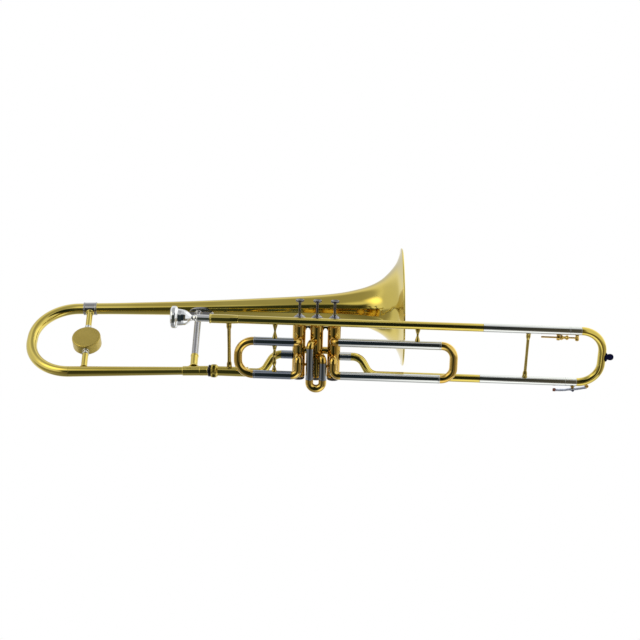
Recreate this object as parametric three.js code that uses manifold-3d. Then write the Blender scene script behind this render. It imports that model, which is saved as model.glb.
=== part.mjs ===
// Valve trombone, in millimetres. +X points to the bell mouth, +Z up along the valves, +Y away
// from the player's left hand side that the picture shows.
// The origin is the middle of the second valve casing, where the left hand grips the horn.

import * as THREE from 'three';
import { mergeVertices } from 'three/addons/utils/BufferGeometryUtils.js';
import Module from 'manifold-3d';

const wasm = await Module();
wasm.setup();

// Gaps and walls
const seatGap = 0.3;
const slideGap = 0.3;
const tubeWall = 0.6;
const legWall = 0.5;
const cutOverrun = 4;
const bendStraight = 0.5;

// Main tubing
const mainRadius = 6.7;
const legRadius = 6.2;
const bowRadius = 6.9;
const elbowTubeRadius = 6.8;
const sleeveBore = legRadius + slideGap;
const sleeveRadius = sleeveBore + tubeWall;
const leadpipeHeight = 56.3;
const leadpipeDepth = -18.2;
const leftTubeHeight = -38.8;
const rightTubeHeight = -36.4;

// Valves
const valvePitch = 28.9;
const casingRadius = 10.9;
const casingWall = 1.1;
const casingTop = 53;
const casingBottom = -41.2;
const upperPortHeight = 22.5;
const lowerPortHeight = -6;
const crossHeight = 3.2;
const valveTravel = 17;
const pistonTop = 46;
const pistonBottom = -19;
const pistonBore = 4.6;
const springWellDepth = 5;
const springWellRadius = 7.4;
const springWire = 0.6;
const springCurls = 4;
const topCapRadius = 10.35;
const topCapSkirt = 5.4;
const topCapDome = 5.6;
const topCapNeck = 3.9;
const capSpigot = 5;
const capWall = 1.6;
const bottomCapRadius = 10.6;
const bottomCapHeight = 5;
const stemRadius = 2.4;
const stemThread = 5;
const buttonRadius = 7.05;
const buttonHeight = 4.2;
const buttonTop = 89;
const buttonRim = 1.3;

// Slides at the valves
const slideDepth = -21.8;
const elbowBend = 7.5;
const lowerElbowBend = 11;
const firstUpperHeight = 21.6;
const thirdUpperHeight = 24;
const firstLowerHeight = -35.2;
const thirdLowerHeight = -33.2;
const firstBowReach = 128;
const firstSleeveEnd = 102.5;
const firstTravel = 45;
const thirdBowReach = 226.5;
const thirdSleeveEnd = 204.8;
const thirdLowerSleeveStart = 49;
const thirdTravel = 80;
const legStay = 14;
const secondLegRadius = 5.4;
const secondBowRadius = 6.6;
const secondSpacing = 21.6;
const secondCentre = 1.2;
const secondBowHeight = -46.3;
const secondSleeveBottom = -41;
const secondLeftTop = 20;
const secondRightTop = -4;

// S-bends of the outer tubes
const bendSlope = THREE.MathUtils.degToRad(60);
const bendRadius = 20;
const leftBendStart = 69;
const rightBendStart = 72.5;

// Tuning slide in front
const sleeveStart = 272.5;
const crookSeam = 432.5;
const crookCapLength = 18.5;
const crookLead = 37;
const crookReach = crookSeam + crookLead;
const crookBend = crookLead - bendStraight;
const crookCapStart = crookSeam - crookCapLength;
const tuningLegShare = 0.6784;
const tuningLegLength = tuningLegShare * (crookCapStart - sleeveStart);
const bumperBase = 7.6;
const bumperNeck = 4.2;
const bumperBall = 5.4;
const bumperReach = 12;
const bumperShare = 0.515;

// Stop rod under the upper tuning sleeve
const stopRodRadius = 1.1;
const stopRodDrop = 12;
const stopPostRadius = 2.4;
const stopPostReach = 3.4;
const stopEndSetback = 7;
const stopEndPlace = crookSeam - stopEndSetback;
const stopRodShare = 0.34375;
const stopRodLength = stopRodShare * (crookSeam - sleeveStart);
const stopPostShare = 0.5545;
const stopPostPlace = stopEndPlace - stopPostShare * stopRodLength;
const stopNutRadius = 3.1;
const stopNutLength = 3.6;
const stopNutGap = 5.4;
const stopNutPlace = stopPostPlace + stopNutGap;

// Water key under the crook
const nibAngle = THREE.MathUtils.degToRad(21);
const nibRadius = 2.7;
const nibBore = 1.4;
const nibHeight = 2.2;
const padRadius = 3.9;
const padHeight = 1.4;
const cupHeight = 2.4;
const cupWall = 0.6;
const pivotSetback = 6;
const pivotPlace = crookSeam - pivotSetback;
const pivotDrop = 5.4;
const pinRadius = 1;
const pinLength = 11;
const saddleThickness = 1.4;
const saddleWidth = 5.2;
const leverThickness = 1.8;
const leverWidth = 4.2;
const leverReach = 31;
const leverEyeRadius = 2.1;
const leverTipRise = 2.4;
const keySpringWire = 0.32;
const keySpringRadius = 2.1;
const keySpringCurls = 3;
const keySpringPitch = 1.15;

// Mouthpiece and receiver
const receiverStart = -177.6;
const receiverLength = 56;
const receiverRadius = 7.5;
const receiverBead = 8.2;
const beadLength = 4;
const mouthpieceLength = 84;
const mouthpieceShown = 62.7;
const rimRadius = 18.7;
const cupRadius = 12.8;
const shankRadius = 5.9;
const shankTipRadius = 5.5;
const throatRadius = 3;
const backboreRadius = 4.7;

// Collar that joins the bell section
const collarPlace = -174.7;
const collarRingLength = 4;
const collarRingRadius = 10;
const nutLength = 11.5;
const nutRadius = 11.4;
const bellReceiverRadius = 8.1;
const bellReceiverEnd = -112;
const tenonRadius = 6.7;
const tenonLength = 30;
const collarTiltGap = 0.9;

// Bell section, in its own plane: x along the horn, z from the lower tube to the bell
const bellPlaneTilt = THREE.MathUtils.degToRad(61);
const bellSectionLean = THREE.MathUtils.degToRad(-2);
const bellSectionTwist = THREE.MathUtils.degToRad(-1.2);
const bellSpacing = 151.8;
const bellMouthPlace = 323.6;
const bellRadius = 102.5;
const bellThroatRadius = 9.9;
const bellWall = 0.6;
const bellBead = 1.7;
const bellLength = 543;
const bellEnd = bellMouthPlace - bellLength;
const lowerSleeveLength = 42.6;
const lowerSleeveRadius = 8;
const lowerTubeSmall = 6.8;
const lowerTubeLarge = 8.9;
const bowThroatStep = 0.5;
const bellBowRadius = bellThroatRadius - bowThroatStep;
const bowSeamStep = 19.1;
const bellBowStart = bellEnd - bowSeamStep;
const bellBowBend = 71.5;
const ferruleLength = 23;
const ferruleStep = 1.3;
const ferruleRadius = bellThroatRadius + ferruleStep;
const ferruleGrip = 11.4;
const ferruleEnd = bellEnd + ferruleGrip;
const counterweightRadius = 24.3;
const counterweightThickness = 20;
const counterweightHeight = 72.6;
const counterweightRod = 4.5;
const counterweightRing = 5.7;
const ringLength = 3;
const rodTopStep = 0.5;
const counterweightRodTop = bellEnd - rodTopStep;
const rodFootStep = 6;
const counterweightRodFoot = bellEnd + rodFootStep;
const footRadius = 6.6;
const footLength = 2.6;
const handBraceTop = -30;
const handBraceFoot = -29.5;
const handBraceRadius = 5.3;
const handSocketRadius = 6.2;
const handSocketLength = 27.9;
const flangeLength = 30;
const flangeWidth = 19;
const flangeThickness = 1.3;

// Braces of the valve section
const braceRod = 2.7;
const braceSocket = 4.2;
const braceSocketLength = 10.8;
const leftBracePlace = -144;
const slideBracePlace = -68;
const thirdBracePlace = 165.7;
const tuningBraceShare = 0.4625;
const tuningBracePlace = sleeveStart + tuningBraceShare * (crookSeam - sleeveStart);

// How finely round shapes are divided
const tubeSides = 10;
const casingSides = 16;
const bellSides = 24;
const smallSides = 8;
const wireSides = 5;
const wireStepsPerCurl = 8;
const bendCoarseness = 0.85;
const weldDistance = 1e-4;

const metal = (color, roughness) => new THREE.MeshStandardMaterial({ color, roughness, metalness: 1 });
const lacqueredBrass = metal(0xb9a850, 0.2);
const warmBrass = metal(0xc49a3a, 0.22);
const nickelSilver = metal(0xc9cbc8, 0.16);
const silverPlate = metal(0xd9dad6, 0.12);
const darkNickel = metal(0x8a8c90, 0.25);
const springSteel = metal(0x9fa3a8, 0.3);
const blackRing = new THREE.MeshStandardMaterial({ color: 0x1b1a18, roughness: 0.5, metalness: 0.4 });
const rubber = new THREE.MeshStandardMaterial({ color: 0x0b1030, roughness: 0.7, metalness: 0 });
const cork = new THREE.MeshStandardMaterial({ color: 0x8a4a34, roughness: 0.9, metalness: 0 });

const vec = (x, y, z) => new THREE.Vector3(x, y, z);
const upward = vec(0, 0, 1);

// Solids: joins and cuts on closed, welded meshes

function toSolid(geometry) {
  const bare = geometry.clone();
  bare.deleteAttribute('normal');
  bare.deleteAttribute('uv');
  const welded = mergeVertices(bare, weldDistance);
  const index = welded.index.array;
  const triangles = [];
  for (let i = 0; i < index.length; i += 3) {
    const [a, b, c] = [index[i], index[i + 1], index[i + 2]];
    if (a !== b && b !== c && c !== a) triangles.push(a, b, c);
  }
  return new wasm.Manifold(new wasm.Mesh({
    numProp: 3,
    vertProperties: welded.attributes.position.array,
    triVerts: new Uint32Array(triangles),
  }));
}

function toGeometry(solid) {
  const mesh = solid.getMesh();
  const geometry = new THREE.BufferGeometry();
  geometry.setAttribute('position', new THREE.BufferAttribute(mesh.vertProperties, 3));
  geometry.setIndex(new THREE.BufferAttribute(mesh.triVerts, 1));
  geometry.computeVertexNormals();
  return geometry;
}

const cut = (geometry, ...tools) =>
  toGeometry(tools.reduce((solid, tool) => solid.subtract(toSolid(tool)), toSolid(geometry)));
const join = (...geometries) =>
  toGeometry(geometries.slice(1).reduce((solid, next) => solid.add(toSolid(next)), toSolid(geometries[0])));
const common = (first, second) => toGeometry(toSolid(first).intersect(toSolid(second)));

// A profile of [radius, height] pairs turned about +Z, as on a lathe
function turned(profile, sides = tubeSides) {
  const points = profile.map(([radius, height]) => new THREE.Vector2(radius, height));
  return new THREE.LatheGeometry(points, sides).rotateX(Math.PI / 2);
}

// A solid or hollow bar of one radius, standing on z = 0
const bar = (radius, length, sides = tubeSides) =>
  turned([[0, 0], [radius, 0], [radius, length], [0, length]], sides);
const hollowBar = (radius, bore, length, sides = tubeSides) =>
  turned([[bore, 0], [radius, 0], [radius, length], [bore, length], [bore, 0]], sides);

// Turns +Z towards a second point and moves the base to the first
function aim(geometry, from, to) {
  const turn = new THREE.Quaternion().setFromUnitVectors(upward, to.clone().sub(from).normalize());
  return geometry.applyQuaternion(turn).translate(from.x, from.y, from.z);
}

const alongX = (geometry, x, y, z) => geometry.rotateY(Math.PI / 2).translate(x, y, z);
const alongY = (geometry, x, y, z) => geometry.rotateX(-Math.PI / 2).translate(x, y, z);
const block = (length, width, height, x, y, z) => new THREE.BoxGeometry(length, width, height).translate(x, y, z);

// The centre line of a tube: straight runs between corners, each corner rounded to a bend
class TubeRoute extends THREE.Curve {
  constructor(corners, bends, tubeRadius) {
    super();
    const stations = [];
    const place = (point, tangent) => stations.push({ point, tangent });
    const heading = (i) => corners[i + 1].clone().sub(corners[i]).normalize();
    place(corners[0], heading(0));
    for (let i = 1; i < corners.length - 1; i++) {
      const before = heading(i - 1);
      const after = heading(i);
      const turn = before.angleTo(after);
      const radius = bends[(i - 1) % bends.length];
      const start = corners[i].clone().addScaledVector(before, -radius * Math.tan(turn / 2));
      const axis = before.clone().cross(after).normalize();
      const inward = axis.clone().cross(before);
      const centre = start.clone().addScaledVector(inward, radius);
      const step = 2 * Math.acos(1 - bendCoarseness / (radius + tubeRadius));
      const steps = Math.ceil(turn / step);
      for (let k = 0; k <= steps; k++) {
        const swing = turn * k / steps;
        const spoke = start.clone().sub(centre).applyAxisAngle(axis, swing);
        place(centre.clone().add(spoke), before.clone().applyAxisAngle(axis, swing));
      }
    }
    place(corners[corners.length - 1], heading(corners.length - 2));
    this.stations = stations;
  }

  get steps() {
    return this.stations.length - 1;
  }

  getPointAt(share, target = new THREE.Vector3()) {
    return target.copy(this.stations[Math.round(share * this.steps)].point);
  }

  getPoint(share, target) {
    return this.getPointAt(share, target);
  }

  getTangentAt(share, target = new THREE.Vector3()) {
    return target.copy(this.stations[Math.round(share * this.steps)].tangent);
  }
}

// The centre line of a wire that is bent everywhere, with a station at each of its points
class WireRoute extends TubeRoute {
  constructor(points) {
    super([points[0], points.at(-1)], [], 0);
    this.stations = points.map((point, i) => {
      const before = points[Math.max(i - 1, 0)];
      const after = points[Math.min(i + 1, points.length - 1)];
      return { point, tangent: after.clone().sub(before).normalize() };
    });
  }
}

function ringOfPoints(radius, sides) {
  return Array.from({ length: sides }, (_, i) => {
    const turn = 2 * Math.PI * i / sides;
    return new THREE.Vector2(radius * Math.cos(turn), radius * Math.sin(turn));
  });
}

function sweep(route, radius, bore, sides) {
  const shape = new THREE.Shape(ringOfPoints(radius, sides));
  if (bore) shape.holes.push(new THREE.Path(ringOfPoints(bore, sides).reverse()));
  return new THREE.ExtrudeGeometry(shape, { extrudePath: route, steps: route.steps, bevelEnabled: false });
}

const pipe = (corners, bends, radius, bore, sides = tubeSides) =>
  sweep(new TubeRoute(corners, bends, radius), radius, bore, sides);

const horn = new THREE.Group();
const bellSection = new THREE.Group();
bellSection.position.set(collarPlace, 0, leftTubeHeight);
bellSection.rotation.set(-bellPlaneTilt, bellSectionLean, bellSectionTwist);
horn.add(bellSection);

function add(name, geometry, material, group = horn) {
  const mesh = new THREE.Mesh(geometry, material);
  mesh.name = name;
  group.add(mesh);
}

const inOrder = ['first', 'second', 'third'];
const valvePlace = (number) => (number - 1) * valvePitch;

// Valve casings, caps, pistons, springs and buttons

const boreRadius = mainRadius - tubeWall;
const casingBore = casingRadius - casingWall;
const pistonRadius = casingBore - slideGap;
const casingHeight = casingTop - casingBottom;

// A round tool that drills a casing or a piston from its axis outwards
function drill(radius, length, x, height, towards) {
  const from = vec(x, 0, height);
  return aim(bar(radius, length, smallSides), from, from.clone().add(towards));
}

const front = vec(0, -1, 0);
const left = vec(-1, 0, 0);
const right = vec(1, 0, 0);
const leftLegOffset = secondCentre - secondSpacing / 2;
const rightLegOffset = secondCentre + secondSpacing / 2;
const towardsLeg = (offset) => vec(offset, slideDepth, 0).normalize();

const ports = [
  [[front, upperPortHeight], [front, lowerPortHeight], [left, lowerPortHeight], [right, crossHeight]],
  [[towardsLeg(leftLegOffset), secondLeftTop], [towardsLeg(rightLegOffset), secondRightTop],
    [left, crossHeight], [right, crossHeight]],
  [[front, upperPortHeight], [front, lowerPortHeight], [left, crossHeight], [right, lowerPortHeight]],
];

function casing(number) {
  const x = valvePlace(number);
  const tube = hollowBar(casingRadius, casingBore, casingHeight, casingSides).translate(x, 0, casingBottom);
  const holes = ports[number].map(([towards, height]) =>
    drill(legRadius - legWall, casingRadius + cutOverrun, x, height, towards));
  return cut(tube, ...holes);
}

function topCap(x) {
  const skirtBase = casingTop + seatGap;
  const skirtTop = skirtBase + topCapSkirt;
  const capTop = skirtTop + topCapDome;
  const spigotRadius = casingBore - slideGap;
  const stemHole = stemRadius + slideGap;
  return turned([
    [spigotRadius - capWall, skirtBase - capSpigot], [spigotRadius, skirtBase - capSpigot],
    [spigotRadius, skirtBase], [topCapRadius, skirtBase], [topCapRadius, skirtTop],
    [(topCapRadius + topCapNeck) / 2, skirtTop + topCapDome / 2], [topCapNeck, capTop], [stemHole, capTop],
    [stemHole, skirtTop], [spigotRadius - capWall, skirtTop - capWall],
    [spigotRadius - capWall, skirtBase - capSpigot],
  ], casingSides).translate(x, 0, 0);
}

function bottomCap(x) {
  const rim = casingBottom - seatGap;
  const base = rim - bottomCapHeight;
  const spigotRadius = casingBore - slideGap;
  return turned([
    [0, base], [bottomCapRadius, base], [bottomCapRadius, rim], [spigotRadius, rim],
    [spigotRadius, rim + capSpigot], [spigotRadius - capWall, rim + capSpigot],
    [spigotRadius - capWall, base + capWall], [0, base + capWall],
  ], casingSides).translate(x, 0, 0);
}

// The through passage joins the side ports while the valve is up. The two quarter bends reach the
// side and front ports one travel lower, when the button is pressed.
function piston(number) {
  const x = valvePlace(number);
  const [upperFront, lowerFront, leftSide, rightSide] = ports[number];
  const body = turned([
    [0, pistonBottom + springWellDepth], [springWellRadius, pistonBottom + springWellDepth],
    [springWellRadius, pistonBottom], [pistonRadius, pistonBottom], [pistonRadius, pistonTop],
    [stemRadius + seatGap, pistonTop], [stemRadius + seatGap, pistonTop - stemThread - seatGap],
    [0, pistonTop - stemThread - seatGap],
  ], casingSides).translate(x, 0, 0);
  const reach = pistonRadius + cutOverrun;
  const through = aim(
    bar(pistonBore, 2 * reach, smallSides).translate(0, 0, -reach),
    vec(x, 0, (leftSide[1] + rightSide[1]) / 2),
    vec(x + 2 * reach, 0, (leftSide[1] + rightSide[1]) / 2 + (rightSide[1] - leftSide[1]) * reach / casingRadius),
  );
  const passage = ([sideways, sideHeight], [forward, frontHeight]) => {
    const start = vec(x, 0, sideHeight + valveTravel).addScaledVector(sideways, reach);
    const corner = vec(x, 0, (sideHeight + frontHeight) / 2 + valveTravel);
    const end = vec(x, 0, frontHeight + valveTravel).addScaledVector(forward, reach);
    return pipe([start, corner, end], [pistonRadius], pistonBore, 0, smallSides);
  };
  return cut(body, through, passage(leftSide, lowerFront), passage(rightSide, upperFront));
}

// A wire wound round +Z, which climbs at a steady rate over the given number of curls
function windWire(coilRadius, wireRadius, height, curls) {
  const steps = curls * wireStepsPerCurl;
  const points = [];
  for (let i = 0; i <= steps; i++) {
    const turn = 2 * Math.PI * i / wireStepsPerCurl;
    points.push(vec(coilRadius * Math.cos(turn), coilRadius * Math.sin(turn), height * i / steps));
  }
  let leastGap = Infinity;
  for (let i = 0; i < points.length; i++) {
    for (let k = i + wireStepsPerCurl - 1; k < points.length; k++) {
      leastGap = Math.min(leastGap, points[i].distanceTo(points[k]) - 2 * wireRadius);
    }
  }
  console.log('spring, least gap between its turns in mm:', leastGap.toFixed(2));
  return sweep(new WireRoute(points), wireRadius, 0, wireSides);
}

function pistonSpring(x) {
  const floor = casingBottom - seatGap - bottomCapHeight + capWall;
  const height = pistonBottom + springWellDepth - floor - 2 * (springWire + seatGap);
  const coilRadius = springWellRadius - springWire - seatGap;
  return windWire(coilRadius, springWire, height, springCurls).translate(x, 0, floor + springWire + seatGap);
}

function buttonStem(x) {
  const base = buttonTop - buttonHeight;
  return turned([
    [0, pistonTop - stemThread], [stemRadius, pistonTop - stemThread], [stemRadius, base - buttonHeight / 2],
    [stemRadius + buttonRim, base], [buttonRadius, base + buttonRim], [buttonRadius, buttonTop],
    [buttonRadius - buttonRim, buttonTop], [buttonRadius - 2 * buttonRim, buttonTop - buttonRim],
    [0, buttonTop - buttonRim],
  ], casingSides).translate(x, 0, 0);
}

inOrder.forEach((word, number) => {
  const x = valvePlace(number);
  add(`${word}_valve_casing`, casing(number), warmBrass);
  add(`${word}_top_cap`, topCap(x), darkNickel);
  add(`${word}_bottom_cap`, bottomCap(x), darkNickel);
  add(`${word}_piston`, piston(number), nickelSilver);
  add(`${word}_piston_spring`, pistonSpring(x), springSteel);
  add(`${word}_button_stem`, buttonStem(x), darkNickel);
});

// Radius of a cutting tool that clears a round piece all round, flats included
const clearOf = (radius, sides = casingSides) => (radius + seatGap) / Math.cos(Math.PI / sides);

// Round space that a tube must keep clear of, where it meets a casing or another tube
const casingKeep = (number) =>
  bar(clearOf(casingRadius), casingHeight + 2 * cutOverrun, casingSides)
    .translate(valvePlace(number), 0, casingBottom - cutOverrun);

['first_cross_tube', 'second_cross_tube'].forEach((name, number) => {
  const tube = pipe([vec(valvePlace(number), 0, crossHeight), vec(valvePlace(number + 1), 0, crossHeight)],
    [], boreRadius, legRadius - legWall);
  add(name, cut(tube, casingKeep(number), casingKeep(number + 1)), warmBrass);
});

// Valve slides: elbow and sleeve on the casing, bow with its two legs in the sleeves

function elbowAndSleeve(corners, bends, casingNumber, jointShare, radius, leg) {
  const end = corners[corners.length - 1];
  const joint = corners[0].clone().lerp(corners[1], jointShare);
  const bore = leg + slideGap;
  const sleeve = pipe([corners[0], joint], [], bore + tubeWall, bore);
  const elbow = pipe([joint, ...corners.slice(1, -1), end], bends, radius, leg - legWall);
  return cut(join(sleeve, elbow), casingKeep(casingNumber));
}

// A side slide runs from its bow to the casing: side is -1 towards the mouthpiece, 1 towards the crook
function sideSlideTubes(number, side, reach, upperHeight, lowerHeight, lowerStart) {
  const x = valvePlace(number);
  const mouth = side * reach;
  const upperJoint = x + side * (elbowBend + seatGap);
  const share = (joint) => (joint - mouth) / (x - mouth);
  const upper = elbowAndSleeve(
    [vec(mouth, slideDepth, upperHeight), vec(x, slideDepth, upperHeight), vec(x, 0, upperPortHeight)],
    [elbowBend], number, share(upperJoint), elbowTubeRadius, legRadius);
  const lower = elbowAndSleeve(
    [vec(mouth, slideDepth, lowerHeight), vec(x, slideDepth, lowerHeight),
      vec(x, slideDepth, lowerPortHeight), vec(x, 0, lowerPortHeight)],
    [lowerElbowBend, elbowBend], number, share(lowerStart), elbowTubeRadius, legRadius);
  return [upper, lower];
}

// Bow and legs in one soldered piece. The corners run from one leg end round the bow to the other.
function bowWithLegs(legEnds, mouths, bowCorners, bend, radius, leg) {
  const bore = leg - legWall;
  const bow = pipe([mouths[0], ...bowCorners, mouths[1]], [bend], radius, bore);
  const legs = legEnds.map((legEnd, i) => pipe([mouths[i], legEnd], [], leg, bore));
  const overlap = legs.map((legTube, i) => {
    const inward = bowCorners[i].clone().sub(legEnds[i]).normalize().multiplyScalar(tubeWall);
    return legTube.translate(inward.x, inward.y, inward.z);
  });
  return join(bow, ...overlap);
}

function sideBow(side, reach, sleeveMouth, upperHeight, lowerHeight, travel) {
  const mouth = side * (sleeveMouth + seatGap);
  const legEnd = side * (sleeveMouth - travel - legStay);
  const heights = [upperHeight, lowerHeight];
  return bowWithLegs(
    heights.map((height) => vec(legEnd, slideDepth, height)),
    heights.map((height) => vec(mouth, slideDepth, height)),
    heights.map((height) => vec(side * reach, slideDepth, height)),
    reach - sleeveMouth - seatGap - bendStraight, bowRadius, legRadius);
}

const firstLowerStart = valvePlace(0) - lowerElbowBend - seatGap;
const [firstUpper, firstLower] =
  sideSlideTubes(0, -1, firstSleeveEnd, firstUpperHeight, firstLowerHeight, firstLowerStart);
add('first_slide_upper_sleeve', firstUpper, nickelSilver);
add('first_slide_lower_sleeve', firstLower, nickelSilver);
add('first_slide_bow',
  sideBow(-1, firstBowReach, firstSleeveEnd, firstUpperHeight, firstLowerHeight, firstTravel), warmBrass);

const [thirdUpper, thirdLower] =
  sideSlideTubes(2, 1, thirdSleeveEnd, thirdUpperHeight, thirdLowerHeight, thirdLowerSleeveStart);
add('third_slide_upper_sleeve', thirdUpper, nickelSilver);
add('third_slide_lower_sleeve', thirdLower, nickelSilver);
add('third_slide_bow',
  sideBow(1, thirdBowReach, thirdSleeveEnd, thirdUpperHeight, thirdLowerHeight, thirdTravel), warmBrass);

function secondSleeve(offset, top) {
  const bottom = vec(offset, slideDepth, secondSleeveBottom);
  const corner = vec(offset, slideDepth, top);
  const joint = top - elbowBend - seatGap;
  const jointShare = (joint - secondSleeveBottom) / (top - secondSleeveBottom);
  return elbowAndSleeve([bottom, corner, vec(0, 0, top)], [elbowBend], 1, jointShare,
    secondLegRadius + slideGap + tubeWall, secondLegRadius);
}

add('second_slide_left_sleeve', secondSleeve(leftLegOffset, secondLeftTop), nickelSilver);
add('second_slide_right_sleeve', secondSleeve(rightLegOffset, secondRightTop), nickelSilver);

const secondOffsets = [leftLegOffset, rightLegOffset];
const secondMouth = secondSleeveBottom - seatGap;
const secondBottom = secondBowHeight - secondSpacing / 2;
add('second_slide_bow', bowWithLegs(
  secondOffsets.map((x) => vec(x, slideDepth, secondRightTop - elbowBend - slideGap - tubeWall)),
  secondOffsets.map((x) => vec(x, slideDepth, secondMouth)),
  secondOffsets.map((x) => vec(x, slideDepth, secondBottom)),
  secondSpacing / 2 - seatGap, secondBowRadius, secondLegRadius), warmBrass);

// Main tubes: leadpipe above, outer stubs, S-bends and long lower tubes

const receiverEnd = receiverStart + receiverLength;
const axisPoint = (x) => vec(x, leadpipeDepth, leadpipeHeight);
add('leadpipe', pipe([axisPoint(receiverEnd + seatGap), axisPoint(sleeveStart - seatGap)],
  [], mainRadius, boreRadius), lacqueredBrass);

// Straight stub out of the casing, S-bend down to the lower tube and on to its far end
function mainTube(number, side, bendStart, height, farEnd) {
  const drop = lowerPortHeight - height;
  const bendEnd = bendStart + drop / Math.tan(bendSlope);
  return cut(pipe([
    vec(valvePlace(number), 0, lowerPortHeight), vec(side * bendStart, 0, lowerPortHeight),
    vec(side * bendEnd, 0, height), vec(farEnd, 0, height),
  ], [bendRadius], mainRadius, boreRadius), casingKeep(number));
}

add('right_main_tube', mainTube(2, 1, rightBendStart, rightTubeHeight, sleeveStart - seatGap), lacqueredBrass);

const bellReceiverBore = clearOf(tenonRadius, tubeSides);
const leftPoint = (x) => vec(x, 0, leftTubeHeight);
const reducerStart = bellReceiverEnd - legStay;
const receiverSleeve = pipe([leftPoint(reducerStart), leftPoint(collarPlace + seatGap + capWall)], [],
  bellReceiverRadius, bellReceiverBore);
const leftBend = mainTube(0, -1, leftBendStart, leftTubeHeight, reducerStart + legStay / 2);
const reducer = pipe([leftPoint(bellReceiverEnd), leftPoint(reducerStart)], [], bellReceiverRadius, boreRadius);
add('left_main_tube', join(receiverSleeve, reducer, leftBend), lacqueredBrass);

// Collar: dark shouldered tenon of the bell section and the knurled nut that draws it in
const tenonBore = boreRadius - tubeWall;
const shoulderStart = collarPlace - collarRingLength;
add('collar_tenon', join(
  pipe([leftPoint(shoulderStart), leftPoint(collarPlace)], [], collarRingRadius, tenonBore),
  pipe([leftPoint(collarPlace - seatGap), leftPoint(collarPlace + tenonLength)], [], tenonRadius, tenonBore),
), blackRing);
add('collar_nut', alongX(turned([
  [tenonRadius + seatGap, seatGap], [nutRadius, seatGap], [nutRadius, nutLength],
  [bellReceiverRadius + seatGap, nutLength], [bellReceiverRadius + seatGap, capWall],
  [tenonRadius + seatGap, capWall], [tenonRadius + seatGap, seatGap],
], casingSides), collarPlace, 0, leftTubeHeight), lacqueredBrass);

// Mouthpiece and its receiver, on the leadpipe's axis

const shankPlay = shankRadius + seatGap;
add('mouthpiece_receiver', alongX(turned([
  [shankPlay, 0], [receiverBead, 0], [receiverBead, beadLength], [receiverRadius, beadLength + capWall],
  [receiverRadius, receiverLength - capWall], [mainRadius, receiverLength], [boreRadius, receiverLength],
  [boreRadius, mouthpieceLength - mouthpieceShown + seatGap], [shankPlay, 0],
]), receiverStart, leadpipeDepth, leadpipeHeight), lacqueredBrass);

// Shares of the shown length and of the rim radius, from the rim face to where the shank goes in
const outerShares = [
  [0, 0.76], [0.012, 0.9], [0.04, 0.985], [0.075, 1], [0.11, 0.97], [0.145, 0.82], [0.19, 0.755],
  [0.33, 0.7], [0.44, 0.56], [0.52, 0.37], [0.56, 0.3], [0.6, 0.37], [0.635, 0.37], [0.665, 0.3],
];
const innerShares = [[0.42, 1], [0.3, 2.2], [0.16, 3.4], [0.05, 4.05]];
const rimPlace = receiverStart - mouthpieceShown;
add('mouthpiece', alongX(turned([
  [backboreRadius, mouthpieceLength], [throatRadius, mouthpieceShown / 2],
  ...innerShares.map(([along, out]) => [throatRadius * out, mouthpieceShown * along]),
  [cupRadius, 0],
  ...outerShares.map(([along, out]) => [rimRadius * out, mouthpieceShown * along]),
  [shankRadius, mouthpieceShown * outerShares.at(-1)[0] + seatGap],
  [shankTipRadius, mouthpieceLength], [backboreRadius, mouthpieceLength],
], casingSides), rimPlace, leadpipeDepth, leadpipeHeight), silverPlate);

// Tuning slide: two sleeves, capped legs, crook, bumper, stop rod

const lowerPoint = (x) => vec(x, 0, rightTubeHeight);
const upSlope = axisPoint(0).sub(lowerPoint(0)).normalize();
const stopAxis = axisPoint(0).addScaledVector(vec(0, 0, 1), -stopRodDrop);
const stopPoint = (x) => vec(x, stopAxis.y, stopAxis.z);

// A post hangs from the sleeve and ends in a round boss about the rod
function stopPost(x, hole) {
  const bottom = stopAxis.z - stopPostReach;
  const post = bar(stopPostRadius, leadpipeHeight - sleeveRadius - bottom, smallSides)
    .translate(x, leadpipeDepth, bottom);
  const boss = alongX(bar(stopPostReach, 2 * stopPostRadius, smallSides), x - stopPostRadius,
    stopAxis.y, stopAxis.z);
  const whole = join(post, boss);
  if (!hole) return whole;
  const rodHole = alongX(bar(stopRodRadius + seatGap, 2 * (stopPostRadius + cutOverrun), smallSides),
    x - stopPostRadius - cutOverrun, stopAxis.y, stopAxis.z);
  return cut(whole, rodHole);
}

const postFoot = (x) => bar(stopPostRadius, 2 * tubeWall, smallSides)
  .translate(x, leadpipeDepth, leadpipeHeight - sleeveRadius - tubeWall);
const upperSleeve = pipe([axisPoint(sleeveStart), axisPoint(crookCapStart - seatGap)], [],
  sleeveRadius, sleeveBore);
const sleeveInside = pipe([axisPoint(sleeveStart - cutOverrun), axisPoint(crookCapStart + cutOverrun)], [],
  sleeveBore, 0);
add('upper_tuning_sleeve',
  cut(join(upperSleeve, postFoot(stopPostPlace), stopPost(stopPostPlace, true)), sleeveInside), nickelSilver);
add('lower_tuning_sleeve', pipe([lowerPoint(sleeveStart), lowerPoint(crookCapStart - seatGap)], [],
  sleeveRadius, sleeveBore), nickelSilver);

function cappedLeg(pointAt) {
  const bore = legRadius - legWall;
  const leg = pipe([pointAt(crookCapStart - tuningLegLength), pointAt(crookSeam - seatGap)], [], legRadius, bore);
  const cap = pipe([pointAt(crookCapStart), pointAt(crookSeam - seatGap)], [], sleeveRadius, bore);
  return join(leg, cap);
}

add('upper_crook_leg', cappedLeg(axisPoint), nickelSilver);
add('lower_crook_leg', cappedLeg(lowerPoint), nickelSilver);

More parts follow.
